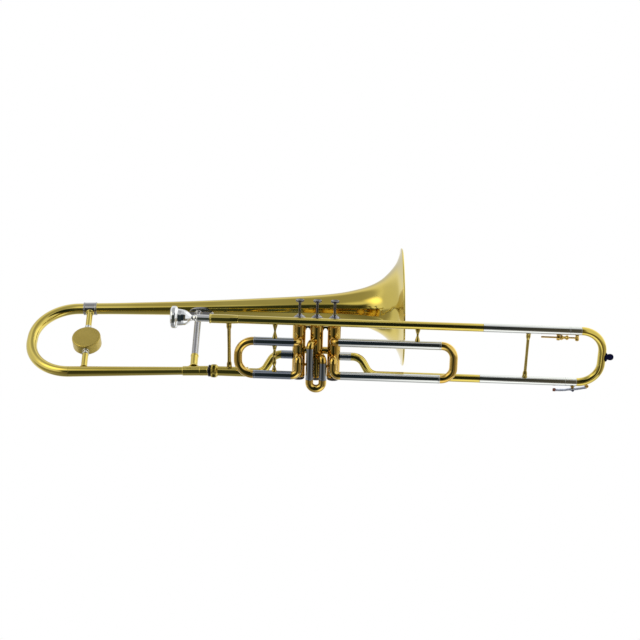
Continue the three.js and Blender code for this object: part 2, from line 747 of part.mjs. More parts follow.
const crook = pipe([axisPoint(crookSeam), axisPoint(crookReach), lowerPoint(crookReach), lowerPoint(crookSeam)],
  [crookBend], bowRadius, legRadius - legWall);
const lowerBendCentre = lowerPoint(crookReach - crookBend).addScaledVector(upSlope, crookBend);
const nibWay = upSlope.clone().multiplyScalar(-Math.cos(nibAngle)).add(vec(Math.sin(nibAngle), 0, 0));
const nibRoot = 2 * tubeWall;
const nibFoot = lowerBendCentre.clone().addScaledVector(nibWay, crookBend + bowRadius - nibRoot);
const nibTip = nibFoot.clone().addScaledVector(nibWay, nibHeight + nibRoot);
const nibHole = aim(bar(nibBore, 2 * cutOverrun, smallSides), nibTip.clone().addScaledVector(nibWay, -cutOverrun),
  nibTip);
add('tuning_crook',
  cut(join(crook, aim(bar(nibRadius, nibHeight + nibRoot, smallSides), nibFoot, nibTip)), nibHole), lacqueredBrass);

const crookMiddle = lowerPoint(crookReach).lerp(axisPoint(crookReach), bumperShare);
const bumperSeat = bowRadius + seatGap;
const bumperSolid = alongX(turned([
  [0, 0], [bumperBase, 0], [bumperBase - capWall, bumperSeat / 2 + capWall], [bumperNeck, bumperSeat],
  [bumperNeck, bumperSeat + capWall], [bumperBall, bumperSeat + bumperReach / 2],
  [bumperNeck, bumperSeat + bumperReach - capWall], [0, bumperSeat + bumperReach],
], casingSides), crookMiddle.x, crookMiddle.y, crookMiddle.z);
const crookKeep = pipe([axisPoint(crookSeam), axisPoint(crookReach), lowerPoint(crookReach), lowerPoint(crookSeam)],
  [crookBend], bumperSeat, 0);
const behindCrook = block(bumperSeat, 4 * bumperBase, 4 * bumperBase,
  crookMiddle.x - bumperSeat / 2, crookMiddle.y, crookMiddle.z);
add('crook_bumper', cut(bumperSolid, crookKeep, behindCrook), rubber);

// Stop rod with its end post under the crook's upper cap, and the turned nuts beside the fixed post
const endFoot = bar(stopPostRadius, 2 * tubeWall, smallSides)
  .translate(stopEndPlace, leadpipeDepth, leadpipeHeight - sleeveRadius - seatGap - 2 * tubeWall);
const capKeep = pipe([axisPoint(crookCapStart), axisPoint(crookSeam)], [], clearOf(sleeveRadius), 0, casingSides);
const stopRodEnd = stopEndPlace - stopRodLength;
const stopNuts = turned([
  [0, 0], [stopNutRadius, 0], [stopNutRadius, stopNutLength], [stopNutRadius / 2, stopNutLength + capWall],
  [stopNutRadius / 2, 2 * stopNutLength], [stopNutRadius, 2 * stopNutLength + capWall / 2],
  [stopNutRadius / 2, 3 * stopNutLength], [0, 3 * stopNutLength],
], smallSides);
add('stop_rod', cut(join(
  stopPost(stopEndPlace, false), endFoot,
  alongX(bar(stopRodRadius, stopRodLength, smallSides), stopRodEnd, stopAxis.y, stopAxis.z),
  alongX(stopNuts, stopNutPlace - stopPostRadius + seatGap, stopAxis.y, stopAxis.z),
), capKeep), warmBrass);

// Water key: saddle and pin on the lower cap, lever with its pad cup, cork pad and spring

const pivot = vec(pivotPlace, 0, rightTubeHeight - sleeveRadius - pivotDrop);
const cheekPlace = leverWidth / 2 + seatGap + saddleThickness / 2;
const lowerCapKeep = alongX(bar(clearOf(sleeveRadius), 2 * crookCapLength, casingSides),
  crookCapStart - crookCapLength / 2, 0, rightTubeHeight);
const cheekTop = rightTubeHeight - sleeveRadius + capWall;
const cheekHeight = cheekTop - pivot.z + leverEyeRadius;
const cheek = (y) => block(saddleWidth, saddleThickness, cheekHeight, pivot.x, y, cheekTop - cheekHeight / 2);
const saddlePlate = block(saddleWidth, 2 * cheekPlace + saddleThickness, 2 * capWall, pivot.x, 0,
  rightTubeHeight - sleeveRadius);
const pin = alongY(bar(pinRadius, pinLength, smallSides), pivot.x, -pinLength / 2, pivot.z);
add('key_saddle', cut(join(saddlePlate, cheek(-cheekPlace), cheek(cheekPlace), pin), lowerCapKeep), warmBrass);

const padSeat = nibTip.clone().addScaledVector(nibWay, seatGap);
const padBack = padSeat.clone().addScaledVector(nibWay, padHeight);
add('key_pad', aim(bar(padRadius - cupWall - seatGap, padHeight, smallSides), padSeat, padBack), cork);

const cupTop = padBack.clone().addScaledVector(nibWay, -padHeight / 2);
const cupBase = cupTop.clone().addScaledVector(nibWay, cupHeight);
const cupHollow = aim(bar(padRadius - cupWall, padHeight / 2 + seatGap, smallSides), cupTop,
  cupBase);
const armTop = cupBase.clone().addScaledVector(nibWay, -leverThickness / 2);
const thumbEnd = vec(pivot.x - leverReach, 0, pivot.z - leverTipRise);
const leverOutline = new THREE.Shape([
  new THREE.Vector2(thumbEnd.x, thumbEnd.z + leverThickness / 2),
  new THREE.Vector2(thumbEnd.x, thumbEnd.z - leverThickness / 2),
  new THREE.Vector2(pivot.x, pivot.z - leverEyeRadius),
  new THREE.Vector2(armTop.x, armTop.z - leverThickness / 2),
  new THREE.Vector2(armTop.x, armTop.z + leverThickness / 2),
  new THREE.Vector2(pivot.x, pivot.z + leverEyeRadius),
]);
const leverPlate = new THREE.ExtrudeGeometry(leverOutline, { depth: leverWidth, bevelEnabled: false })
  .rotateX(Math.PI / 2).translate(0, leverWidth / 2, 0);
const padCup = aim(bar(padRadius, cupHeight, smallSides), cupTop, cupBase);
const eyeHole = alongY(bar(pinRadius + seatGap, 2 * pinLength, smallSides), pivot.x, -pinLength, pivot.z);
const padRoom = aim(bar(2 * padRadius, 2 * cutOverrun, smallSides),
  padBack.clone().addScaledVector(nibWay, -2 * cutOverrun), padBack);
add('key_lever', cut(join(cut(leverPlate, padRoom), padCup), cupHollow, eyeHole), nickelSilver);

const springStart = cheekPlace + saddleThickness / 2 + seatGap + keySpringWire;
const keySpring = windWire(keySpringRadius, keySpringWire, keySpringCurls * keySpringPitch, keySpringCurls);
add('key_spring', alongY(keySpring, pivot.x, -springStart - keySpringCurls * keySpringPitch, pivot.z), springSteel);

// Braces of the valve section: turned rods whose ends are cut to the tubes they join

const tubeKeep = (pointAt, place, radius, span) =>
  pipe([pointAt(place - span), pointAt(place + span)], [], clearOf(radius), 0, casingSides);

function brace(from, to, keeps, waist = braceRod) {
  const length = from.distanceTo(to);
  const seat = sleeveRadius;
  const socket = Math.min(braceSocketLength, (length - 2 * seat) / 3);
  const rod = turned([
    [0, 0], [braceSocket, 0], [braceSocket, seat + socket], [waist, seat + socket + seatGap],
    [waist, length - seat - socket - seatGap], [braceSocket, length - seat - socket],
    [braceSocket, length], [0, length],
  ]);
  return cut(aim(rod, from, to), ...keeps);
}

const slidePoint = (height) => (x) => vec(x, slideDepth, height);
const span = 3 * braceSocket;
const braces = [
  ['left_brace', axisPoint, receiverRadius, leftPoint, bellReceiverRadius, leftBracePlace, braceRod],
  ['first_slide_upper_brace', axisPoint, mainRadius, slidePoint(firstUpperHeight), sleeveRadius,
    slideBracePlace, braceRod],
  ['first_slide_lower_brace', slidePoint(firstUpperHeight), sleeveRadius, slidePoint(firstLowerHeight),
    sleeveRadius, slideBracePlace, braceRod],
  ['third_slide_brace', axisPoint, mainRadius, slidePoint(thirdUpperHeight), sleeveRadius,
    thirdBracePlace, braceRod],
  ['tuning_brace', axisPoint, sleeveRadius, lowerPoint, sleeveRadius, tuningBracePlace, braceRod],
];
for (const [name, topPoint, topRadius, footPoint, footTube, place, waist] of braces) {
  const keeps = [tubeKeep(topPoint, place, topRadius, span), tubeKeep(footPoint, place, footTube, span)];
  add(name, brace(topPoint(place), footPoint(place), keeps, waist), lacqueredBrass);
}

// Bell section, in its own group: x along the horn, z from the lower tube to the bell

// Shares of the bell's length from its mouth, and of the spread from its throat radius to its mouth radius
const bellShares = [
  [0.0105, 0.8118], [0.0165, 0.7288], [0.0245, 0.6569], [0.043, 0.5296], [0.068, 0.4023], [0.1, 0.306],
  [0.132, 0.2451], [0.195, 0.1698], [0.26, 0.1316], [0.322, 0.1089], [0.45, 0.0768],
  [0.575, 0.0481], [0.705, 0.0248], [0.83, 0.0104], [0.965, 0], [1, 0],
];
const flareEdge = [[0, 1], [0.0015, 0.9834], [0.005, 0.9114]];
const bellSpread = bellRadius - bellThroatRadius;
const bellOutline = [...flareEdge, ...bellShares]
  .map(([back, out]) => [bellThroatRadius + bellSpread * out, -bellLength * back]);

// The same line moved inwards by the wall, square to itself
const bellInside = bellOutline.map(([radius, height], i) => {
  const [r0, h0] = bellOutline[Math.max(i - 1, 0)];
  const [r1, h1] = bellOutline[Math.min(i + 1, bellOutline.length - 1)];
  const run = Math.hypot(r1 - r0, h1 - h0);
  const moved = [radius + bellWall * (h1 - h0) / run, height - bellWall * (r1 - r0) / run];
  return i === bellOutline.length - 1 ? [moved[0], height] : moved;
});
const beadPoints = [0.6, 1.2, 1.8, 2.4].map((quarter) => {
  const turn = quarter * Math.PI / 2 - Math.PI / 2;
  return [bellRadius - bellBead + bellBead * Math.cos(turn), bellBead * Math.sin(turn)];
});
const bellProfile = [
  ...bellOutline.slice(1).reverse(), ...beadPoints, ...bellInside.slice(1), bellOutline.at(-1),
];
add('bell', alongX(turned(bellProfile, bellSides), bellMouthPlace, 0, bellSpacing), lacqueredBrass, bellSection);

const sectionPoint = (x, z) => vec(x, 0, z);
const ferruleStart = ferruleEnd - ferruleLength;
add('bell_ferrule', alongX(turned([
  [bellBowRadius + seatGap, 0], [ferruleRadius, 0], [ferruleRadius, ferruleLength],
  [bellThroatRadius + seatGap, ferruleLength], [bellThroatRadius + seatGap, bellEnd - ferruleStart - seatGap],
  [bellBowRadius + seatGap, bellEnd - ferruleStart - seatGap], [bellBowRadius + seatGap, 0],
], casingSides), ferruleStart, 0, bellSpacing), nickelSilver, bellSection);

const bowCorner = bellBowStart - bellBowBend;
add('bell_bow', pipe([sectionPoint(bellEnd - seatGap, bellSpacing), sectionPoint(bowCorner, bellSpacing),
  sectionPoint(bowCorner, 0), sectionPoint(bellBowStart + seatGap, 0)],
[bellBowBend - seatGap / 2], bellBowRadius, bellBowRadius - tubeWall), lacqueredBrass, bellSection);

const sleeveMouth = -collarRingLength - collarTiltGap;
const sleeveFoot = sleeveMouth - lowerSleeveLength;
const lowerTubeEnd = bellBowStart + 2 * seatGap;
add('bell_lower_tube', alongX(turned([
  [lowerTubeLarge - tubeWall, lowerTubeEnd], [lowerTubeLarge, lowerTubeEnd], [lowerTubeSmall, sleeveFoot],
  [lowerSleeveRadius, sleeveFoot + seatGap], [lowerSleeveRadius, sleeveMouth],
  [lowerTubeSmall - tubeWall, sleeveMouth], [lowerTubeSmall - tubeWall, sleeveFoot],
  [lowerTubeLarge - tubeWall, lowerTubeEnd],
]), 0, 0, 0), lacqueredBrass, bellSection);

// Radius of the lower tube at a place along the section
function lowerTubeAt(x) {
  const share = THREE.MathUtils.clamp((x - sleeveFoot) / (lowerTubeEnd - sleeveFoot), 0, 1);
  return x > sleeveFoot ? lowerSleeveRadius : THREE.MathUtils.lerp(lowerTubeSmall, lowerTubeLarge, share);
}

// Radius of the bell at a place along the section, between the points of its outline
function bellAt(x) {
  const back = bellMouthPlace - x;
  const i = bellOutline.findIndex(([, height]) => -height >= back);
  const [r0, h0] = bellOutline[i - 1];
  const [r1, h1] = bellOutline[i];
  return THREE.MathUtils.mapLinear(-back, h0, h1, r0, r1);
}

const sectionKeep = (x, z, radius, reach) =>
  alongX(bar(clearOf(radius), 2 * reach, casingSides), x - reach, 0, z);

// The round counterweight lies in the section's plane, on a rod that runs through it
const rodFoot = sectionPoint(counterweightRodFoot, 0);
const rodTop = sectionPoint(counterweightRodTop, bellSpacing);
const rodLength = rodFoot.distanceTo(rodTop);
const discCentre = rodFoot.clone().lerp(rodTop, counterweightHeight / bellSpacing);
const discLow = counterweightHeight - counterweightRadius;
const discHigh = counterweightHeight + counterweightRadius;
const rodTool = aim(bar(counterweightRod + seatGap, rodLength, tubeSides), rodFoot, rodTop);
const disc = alongY(turned([
  [0, 0], [counterweightRadius - capWall, 0], [counterweightRadius, capWall],
  [counterweightRadius, counterweightThickness - capWall],
  [counterweightRadius - capWall, counterweightThickness], [0, counterweightThickness],
], bellSides), discCentre.x, -counterweightThickness / 2, discCentre.z);
add('counterweight', cut(disc, rodTool), lacqueredBrass, bellSection);

const topSeat = rodLength - ferruleRadius - footLength;
const footSeat = lowerTubeAt(counterweightRodFoot) + footLength;
const weightRod = aim(turned([
  [0, 0], [footRadius, 0], [footRadius, footSeat], [counterweightRod, footSeat],
  [counterweightRod, discLow - ringLength - seatGap], [counterweightRing, discLow - ringLength - seatGap],
  [counterweightRing, discLow - seatGap], [counterweightRod, discLow - seatGap],
  [counterweightRod, discHigh + seatGap], [counterweightRing, discHigh + seatGap],
  [counterweightRing, discHigh + ringLength + seatGap], [counterweightRod, discHigh + ringLength + seatGap],
  [counterweightRod, topSeat], [footRadius, topSeat], [footRadius, rodLength], [0, rodLength],
]), rodFoot, rodTop);
add('counterweight_rod', cut(weightRod,
  sectionKeep(counterweightRodFoot, 0, lowerTubeAt(counterweightRodFoot - footRadius), 2 * footRadius),
  sectionKeep(counterweightRodTop, bellSpacing, ferruleRadius, ferruleLength)), lacqueredBrass, bellSection);

// Hand brace: oval flange curved to the bell, nickel tube, brass socket on the lower tube
const braceFoot = sectionPoint(handBraceFoot, 0);
const braceTop = sectionPoint(handBraceTop, bellSpacing);
const braceLength = braceFoot.distanceTo(braceTop);
const bellHere = bellAt(handBraceTop + flangeLength / 2);
const flangeOval = bar(1, bellSpacing / 2, casingSides).scale(flangeLength / 2, flangeWidth / 2, 1)
  .translate(handBraceTop, 0, bellSpacing / 2);
const flangeShell = alongX(hollowBar(bellHere + seatGap + flangeThickness, bellHere + seatGap, 2 * flangeLength,
  casingSides), handBraceTop - flangeLength, 0, bellSpacing);
const socketTop = lowerSleeveRadius + handSocketLength;
const braceRodStart = braceFoot.clone().lerp(braceTop, (socketTop + seatGap) / braceLength);
const braceTube = aim(bar(handBraceRadius, braceLength - socketTop - seatGap), braceRodStart, braceTop);
add('hand_brace_tube', join(common(flangeOval, flangeShell),
  cut(braceTube, sectionKeep(handBraceTop, bellSpacing, bellHere, flangeLength))), nickelSilver, bellSection);
add('hand_brace_socket', cut(aim(bar(handSocketRadius, socketTop), braceFoot, braceTop),
  sectionKeep(handBraceFoot, 0, lowerSleeveRadius, 2 * handSocketRadius)), lacqueredBrass, bellSection);

export default horn;
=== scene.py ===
import bpy
import math
from mathutils import Matrix, Vector


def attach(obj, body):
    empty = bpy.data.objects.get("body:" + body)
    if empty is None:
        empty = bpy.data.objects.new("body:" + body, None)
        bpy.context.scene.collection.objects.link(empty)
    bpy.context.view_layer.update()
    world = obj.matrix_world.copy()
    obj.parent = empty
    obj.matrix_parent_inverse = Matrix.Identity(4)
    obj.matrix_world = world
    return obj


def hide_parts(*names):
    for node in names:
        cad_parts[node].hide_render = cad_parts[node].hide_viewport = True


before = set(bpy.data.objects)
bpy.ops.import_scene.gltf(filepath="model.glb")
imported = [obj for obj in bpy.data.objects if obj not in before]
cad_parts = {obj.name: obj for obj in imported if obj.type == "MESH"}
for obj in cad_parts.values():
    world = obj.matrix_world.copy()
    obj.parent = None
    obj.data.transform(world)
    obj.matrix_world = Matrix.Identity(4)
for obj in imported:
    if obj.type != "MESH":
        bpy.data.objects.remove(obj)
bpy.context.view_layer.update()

# The horn's sizes are in millimetres, and those of its studio in metres
mm = 0.001
tiny = 1e-6


class Wire:
    # a node's output, on which Python sums add Math nodes

    def __init__(self, graph, socket):
        self.graph = graph
        self.socket = socket

    def maths(self, operation, first, second):
        return self.graph.add('ShaderNodeMath', {'operation': operation}, {0: first, 1: second})

    def __add__(self, other):
        return self.maths('ADD', self, other)

    __radd__ = __add__

    def __sub__(self, other):
        return self.maths('SUBTRACT', self, other)

    def __rsub__(self, other):
        return self.maths('SUBTRACT', other, self)

    def __mul__(self, other):
        return self.maths('MULTIPLY', self, other)

    __rmul__ = __mul__

    def __truediv__(self, other):
        return self.maths('DIVIDE', self, other)

    def __rtruediv__(self, other):
        return self.maths('DIVIDE', other, self)

    def __getitem__(self, name):
        return Wire(self.graph, self.socket.node.outputs[name])


class Graph:
    # adds nodes to a shader or a geometry tree

    def __init__(self, tree):
        self.tree = tree

    def add(self, kind, settings=None, sockets=None, out=0):
        node = self.tree.nodes.new(kind)
        for key, value in (settings or {}).items():
            if key == 'stops':
                ramp = node.color_ramp
                while len(ramp.elements) < len(value):
                    ramp.elements.new(0.5)
                for element, (place, colour) in zip(ramp.elements, value):
                    element.position = place
                    element.color = colour
            else:
                setattr(node, key, value)
        for key, value in (sockets or {}).items():
            if isinstance(value, Wire):
                self.tree.links.new(value.socket, node.inputs[key])
            else:
                node.inputs[key].default_value = value
        if node.outputs:
            return Wire(self, node.outputs[out])


def newMaterial(name):
    material = bpy.data.materials.new(name)
    material.use_nodes = True
    material.node_tree.nodes.clear()
    return material, Graph(material.node_tree)


def objectNoise(graph, scale, detail, stretch=(1, 1, 1)):
    place = graph.add('ShaderNodeTexCoord')['Object']
    mapped = graph.add('ShaderNodeMapping', {}, {'Vector': place, 'Scale': stretch})
    return graph.add('ShaderNodeTexNoise', {}, {'Vector': mapped, 'Scale': scale, 'Detail': detail})['Fac']


def between(graph, edges, mask):
    return graph.add('ShaderNodeMapRange', {'interpolation_type': 'SMOOTHSTEP'},
                     {0: mask, 1: edges[0], 2: edges[1]})


def blended(graph, mask, look):
    return graph.add('ShaderNodeMix', {'data_type': 'RGBA', 'clamp_factor': True},
                     {0: mask, 6: (*look['colour'], 1), 7: (*look['shade'], 1)}, out=2)


# Metal: a slow drift of tint, patches where the polish is duller, and fine buffing lines
lacquer = {
    'slot': 'lacquered_brass', 'colour': (0.68, 0.55, 0.125), 'shade': (0.61, 0.475, 0.085),
    'driftScale': 7, 'driftDetail': 3, 'driftEdges': (0.35, 0.7),
    'dullScale': 26, 'dullDetail': 5, 'dullEdges': (0.48, 0.72), 'dulling': 0.025,
    'lineScale': 160, 'lineDetail': 2, 'lineStretch': (0.08, 1, 1), 'lineRoughness': 0.012,
    'roughness': 0.06, 'coat': 0.35, 'coatRoughness': 0.03,
}
nickel = {**lacquer, 'slot': 'nickel_silver', 'roughness': 0.05, 'coat': 0.0}
metals = {
    'lacqueredBrass': lacquer,
    'warmBrass': {**lacquer, 'slot': 'warm_brass', 'colour': (0.72, 0.5, 0.115), 'shade': (0.6, 0.37, 0.06),
                  'driftScale': 22},
    # the tubes' brass painted darker for the braces: painted shade for rods that sit between the tubes
    'paintedShadeBraceBrass': {**lacquer, 'colour': (0.45, 0.345, 0.075), 'shade': (0.38, 0.28, 0.055), 'driftScale': 40},
    'satinBrass': {**lacquer, 'colour': (0.53, 0.41, 0.1), 'shade': (0.49, 0.375, 0.085), 'driftScale': 40,
                   'roughness': 0.36, 'dulling': 0.03, 'lineRoughness': 0.02, 'lineStretch': (1, 1, 1),
                   'coat': 0.15},
    'nickelSilver': {**nickel, 'colour': (0.7, 0.72, 0.71), 'shade': (0.62, 0.64, 0.62)},
    # nickel painted darker and bluer: a painted reflection of the dark tubes above these sleeves
    'duskNickel': {**nickel, 'colour': (0.4, 0.44, 0.51), 'shade': (0.33, 0.37, 0.44)},
    # nickel painted darker grey: painted shade for the hand brace, its flange and the bell ferrule, which
    # mirror the dark tubes round them
    'paintedShadeNickel': {**nickel, 'colour': (0.37, 0.37, 0.37), 'shade': (0.4, 0.4, 0.42), 'driftScale': 30,
                   'roughness': 0.1},
    'silverPlate': {**nickel, 'slot': 'silver_plate', 'colour': (0.8, 0.82, 0.83),
                    'shade': (0.72, 0.74, 0.75), 'dulling': 0.02},
    'darkNickel': {**nickel, 'slot': 'dark_nickel', 'colour': (0.3, 0.3, 0.32), 'shade': (0.15, 0.15, 0.18),
                   'driftScale': 90, 'roughness': 0.15},
    # nickel painted nearly black for the finger buttons: painted shade, dimming their mirror of the bright
    # sky
    'paintedShadeButtonNickel': {**nickel, 'slot': 'dark_nickel', 'colour': (0.2, 0.2, 0.21), 'shade': (0.11, 0.11, 0.13),
                     'driftScale': 120, 'roughness': 0.14},
    'keySteel': {**nickel, 'colour': (0.62, 0.68, 0.84), 'shade': (0.5, 0.56, 0.72), 'driftScale': 160,
                 'roughness': 0.4},
    'springSteel': {**nickel, 'slot': 'spring_steel', 'colour': (0.42, 0.47, 0.6), 'shade': (0.34, 0.38, 0.5),
                    'roughness': 0.2},
    # near-black for the collar tenon's shoulder: painted shade for the shadowed gap between the bell receiver
    # and the collar nut
    'paintedShadeBlackRing': {**lacquer, 'slot': 'black_ring', 'colour': (0.012, 0.012, 0.014),
                  'shade': (0.03, 0.028, 0.025), 'roughness': 0.3, 'coat': 0.2},
}
# Rubber and cork: a grain of two shades, with a fine bump
rubber = {
    'slot': 'rubber', 'colour': (0.002, 0.003, 0.02), 'shade': (0.004, 0.005, 0.03),
    'grainScale': 120, 'grainDetail': 4, 'grainEdges': (0.3, 0.8), 'fineScale': 900, 'fineDetail': 3,
    'bump': 0.1, 'bumpDistance': 0.0006, 'roughness': 0.7, 'fineRoughness': 0.12, 'shine': 0.04,
}
softParts = {
    'blackRubber': rubber,
    'pressedCork': {**rubber, 'slot': 'cork', 'colour': (0.22, 0.075, 0.045), 'shade': (0.08, 0.025, 0.015),
                    'grainScale': 700, 'grainEdges': (0.45, 0.62), 'fineScale': 2500, 'bump': 0.5,
                    'roughness': 0.75, 'shine': 0.3},
}


def polished(name, look):
    material, graph = newMaterial(name)
    drift = objectNoise(graph, look['driftScale'], look['driftDetail'])
    handled = objectNoise(graph, look['dullScale'], look['dullDetail'])
    lines = objectNoise(graph, look['lineScale'], look['lineDetail'], look['lineStretch'])
    dull = between(graph, look['dullEdges'], handled)
    shader = graph.add('ShaderNodeBsdfPrincipled', {}, {
        'Base Color': blended(graph, between(graph, look['driftEdges'], drift), look), 'Metallic': 1.0,
        'Roughness': look['roughness'] + look['dulling'] * dull + look['lineRoughness'] * lines,
        'Coat Weight': look['coat'], 'Coat Roughness': look['coatRoughness'],
    })
    graph.add('ShaderNodeOutputMaterial', {}, {'Surface': shader})
    return material


def mottled(name, look):
    material, graph = newMaterial(name)
    grain = objectNoise(graph, look['grainScale'], look['grainDetail'])
    fine = objectNoise(graph, look['fineScale'], look['fineDetail'])
    bump = graph.add('ShaderNodeBump', {}, {
        'Strength': look['bump'], 'Distance': look['bumpDistance'], 'Height': grain + fine})
    shader = graph.add('ShaderNodeBsdfPrincipled', {}, {
        'Base Color': blended(graph, between(graph, look['grainEdges'], grain), look),
        'Roughness': look['roughness'] + look['fineRoughness'] * fine, 'Normal': bump,
        'Specular IOR Level': look['shine'],
    })
    graph.add('ShaderNodeOutputMaterial', {}, {'Surface': shader})
    return material


looks = {name: polished(name, look) for name, look in metals.items()}
looks.update({name: mottled(name, look) for name, look in softParts.items()})
slotOf = {name: look['slot'] for name, look in {**metals, **softParts}.items()}
print('finishes made')


# Places: each matrix takes millimetres about a piece's own axis to millimetres in the horn

def aimed(start, end):
    run = Vector(end) - Vector(start)
    turn = Vector((0, 0, 1)).rotation_difference(run.normalized())
    return Matrix.Translation(Vector(start)) @ turn.to_matrix().to_4x4()


def alongX(x, y, z):
    return Matrix.Translation((x, y, z)) @ Matrix.Rotation(math.pi / 2, 4, 'Y')


def alongY(x, y, z):
    return Matrix.Translation((x, y, z)) @ Matrix.Rotation(-math.pi / 2, 4, 'X')


def upright(x, y, z):
    return Matrix.Translation((x, y, z))


def finished(mesh, name, look, body, nodes=(), sharp=40):
    # one piece of the horn, from a mesh in metres
    mesh.name = name
    mesh.materials.clear()
    mesh.materials.append(looks[look])
    mesh.shade_smooth()
    mesh.set_sharp_from_angle(angle=math.radians(sharp))
    piece = bpy.data.objects.new(name, mesh)
    bpy.context.scene.collection.objects.link(piece)
    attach(piece, body)
    slotOf[look]
    if nodes:
        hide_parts(*nodes)


def signedVolume(points, faces):
    total = 0.0
    for face in faces:
        for i in range(1, len(face) - 1):
            total += points[face[0]].dot(points[face[i]].cross(points[face[i + 1]]))
    return total


def solidMesh(points, faces, place):
    # a closed mesh in metres, its faces turned outwards
    moved = [place @ Vector(point) * mm for point in points]
    centre = sum(moved, Vector()) / len(moved)
    if signedVolume([point - centre for point in moved], faces) < 0:
        faces = [tuple(reversed(face)) for face in faces]
    mesh = bpy.data.meshes.new('solid')
    mesh.from_pydata([tuple(point) for point in moved], [], faces)
    mesh.validate()
    return mesh


def ringFaces(rings):
    # faces between each ring of points and the next; a ring of one point is a pole
    faces = []
    for low, high in zip(rings, rings[1:]):
        sides = max(len(low), len(high))
        for k in range(sides):
            n = (k + 1) % sides
            if len(low) == len(high):
                faces.append((low[k], high[k], high[n], low[n]))
            elif len(low) == 1:
                faces.append((low[0], high[k], high[n]))
            else:
                faces.append((low[n], low[k], high[0]))
    return faces


# Turned pieces: how a corner is rounded, and where a long run gets a ring near each end
turning = {'steps': 3, 'mostOfSide': 0.45, 'straight': 0.97, 'ringReach': 0.4, 'longRun': 2}


def eased(profile, radius):
    # takes the sharp corners off a profile
    closed = profile[0] == profile[-1]
    corners = [Vector(point) for point in (profile[:-1] if closed else profile)]
    soft = []
    for i, here in enumerate(corners):
        to, fro = corners[i - 1] - here, corners[(i + 1) % len(corners)] - here
        atEnd = not closed and i in (0, len(corners) - 1)
        if atEnd or abs(to.normalized().dot(fro.normalized())) > turning['straight']:
            soft.append(tuple(here))
            continue
        reach = min(radius, to.length * turning['mostOfSide'], fro.length * turning['mostOfSide'])
        start, end = here + to.normalized() * reach, here + fro.normalized() * reach
        for k in range(turning['steps'] + 1):
            t = k / turning['steps']
            soft.append(tuple((1 - t) ** 2 * start + 2 * t * (1 - t) * here + t ** 2 * end))
    return soft + soft[:1] if closed else soft


def supported(line):
    # rings near the ends of long runs, so that their shading stays straight
    full = [line[0]]
    for start, end in zip(line, line[1:]):
        run = math.dist(start, end)
        if run > turning['longRun']:
            near = turning['ringReach'] / run
            full += [tuple(a + (b - a) * share for a, b in zip(start, end)) for share in (near, 1 - near)]
        full.append(end)
    return full


def turnedPiece(name, profile, place, look, body, nodes=(), sides=48, ease=0.35, sharp=40):
    # a profile of (radius, height) turned about its axis
    line = supported(eased(profile, ease)) if ease else profile
    closed = line[0] == line[-1]
    points, rings = [], []
    for radius, height in line[:-1] if closed else line:
        count = sides if radius > tiny else 1
        rings.append(range(len(points), len(points) + count))
        for k in range(count):
            turn = 2 * math.pi * k / count
            points.append((radius * math.cos(turn), radius * math.sin(turn), height))
    faces = ringFaces(rings + rings[:1] if closed else rings)
    finished(solidMesh(points, faces, place), name, look, body, nodes, sharp)


def bandPiece(name, radius, bore, length, place, look, ease):
    # a plain ring round the mouth of a sleeve
    turnedPiece(name, [(bore, 0), (radius, 0), (radius, length), (bore, length), (bore, 0)], place, look,
                'valve_section', ease=ease)


def raised(outline, start, way=1):
    # an outline of (radius, height) moved along its axis, and turned over where way is -1
    return [(radius, start + way * height) for radius, height in outline]


def smoothLine(points, steps=5):
    # a smooth curve through (radius, place) points that never swings past them
    slopes = [(after[0] - before[0]) / (after[1] - before[1]) for before, after in zip(points, points[1:])]
    tangents = [slopes[0]]
    for before, after in zip(slopes, slopes[1:]):
        tangents.append(0 if before * after <= 0 else 2 * before * after / (before + after))
    tangents.append(slopes[-1])
    line = []
    for i, ((startValue, startPlace), (endValue, endPlace)) in enumerate(zip(points, points[1:])):
        run = endPlace - startPlace
        for k in range(steps):
            t = k / steps
            first = (1 + 2 * t) * (1 - t) ** 2 * startValue + t * (1 - t) ** 2 * run * tangents[i]
            second = t * t * (3 - 2 * t) * endValue + t * t * (t - 1) * run * tangents[i + 1]
            line.append((first + second, startPlace + t * run))
    line.append(tuple(points[-1]))
    return line


def plateMesh(outline, width, ease, place=Matrix.Identity(4)):
    # a flat bar cut to an outline in x and z, its long edges taken off
    centre = sum((Vector(point) for point in outline), Vector((0, 0))) / len(outline)
    points, rings = [], []
    half = width / 2
    for y, inset in ((-half, ease), (-half + ease, 0), (half - ease, 0), (half, ease)):
        rings.append(range(len(points), len(points) + len(outline)))
        for x, z in outline:
            pull = (centre - Vector((x, z))).normalized() * inset
            points.append((x + pull.x, y, z + pull.y))
    faces = [tuple(rings[0]), tuple(reversed(rings[-1])), *ringFaces(rings)]
    return solidMesh(points, faces, place)


# Geometry Nodes: a ring swept along a path of points, ridges round a ring, and a coil of wire

def newTree(name, inputs):
    tree = bpy.data.node_groups.new(name, 'GeometryNodeTree')
    for label, kind in {'Geometry': 'Geometry', **inputs}.items():
        tree.interface.new_socket(label, in_out='INPUT', socket_type='NodeSocket' + kind)
    tree.interface.new_socket('Geometry', in_out='OUTPUT', socket_type='NodeSocketGeometry')
    graph = Graph(tree)
    return tree, graph, graph.add('NodeGroupInput')


def closeTree(graph, geometry, material):
    real = graph.add('GeometryNodeRealizeInstances', {}, {'Geometry': geometry})
    done = graph.add('GeometryNodeSetMaterial', {}, {'Geometry': real, 'Material': material})
    graph.add('NodeGroupOutput', {}, {'Geometry': done})


def sweepTree():
    tree, graph, given = newTree('ringAlongPath', {'Sides': 'Int', 'Finish': 'Material'})
    radius = graph.add('GeometryNodeInputNamedAttribute', {'data_type': 'FLOAT'}, {'Name': 'tubeRadius'})
    curve = graph.add('GeometryNodeMeshToCurve', {}, {'Mesh': given['Geometry']})
    ring = graph.add('GeometryNodeCurvePrimitiveCircle', {}, {'Resolution': given['Sides'], 'Radius': 1.0})
    swept = graph.add('GeometryNodeCurveToMesh', {}, {'Curve': curve, 'Profile Curve': ring, 'Scale': radius})
    closeTree(graph, swept, given['Finish'])
    return tree


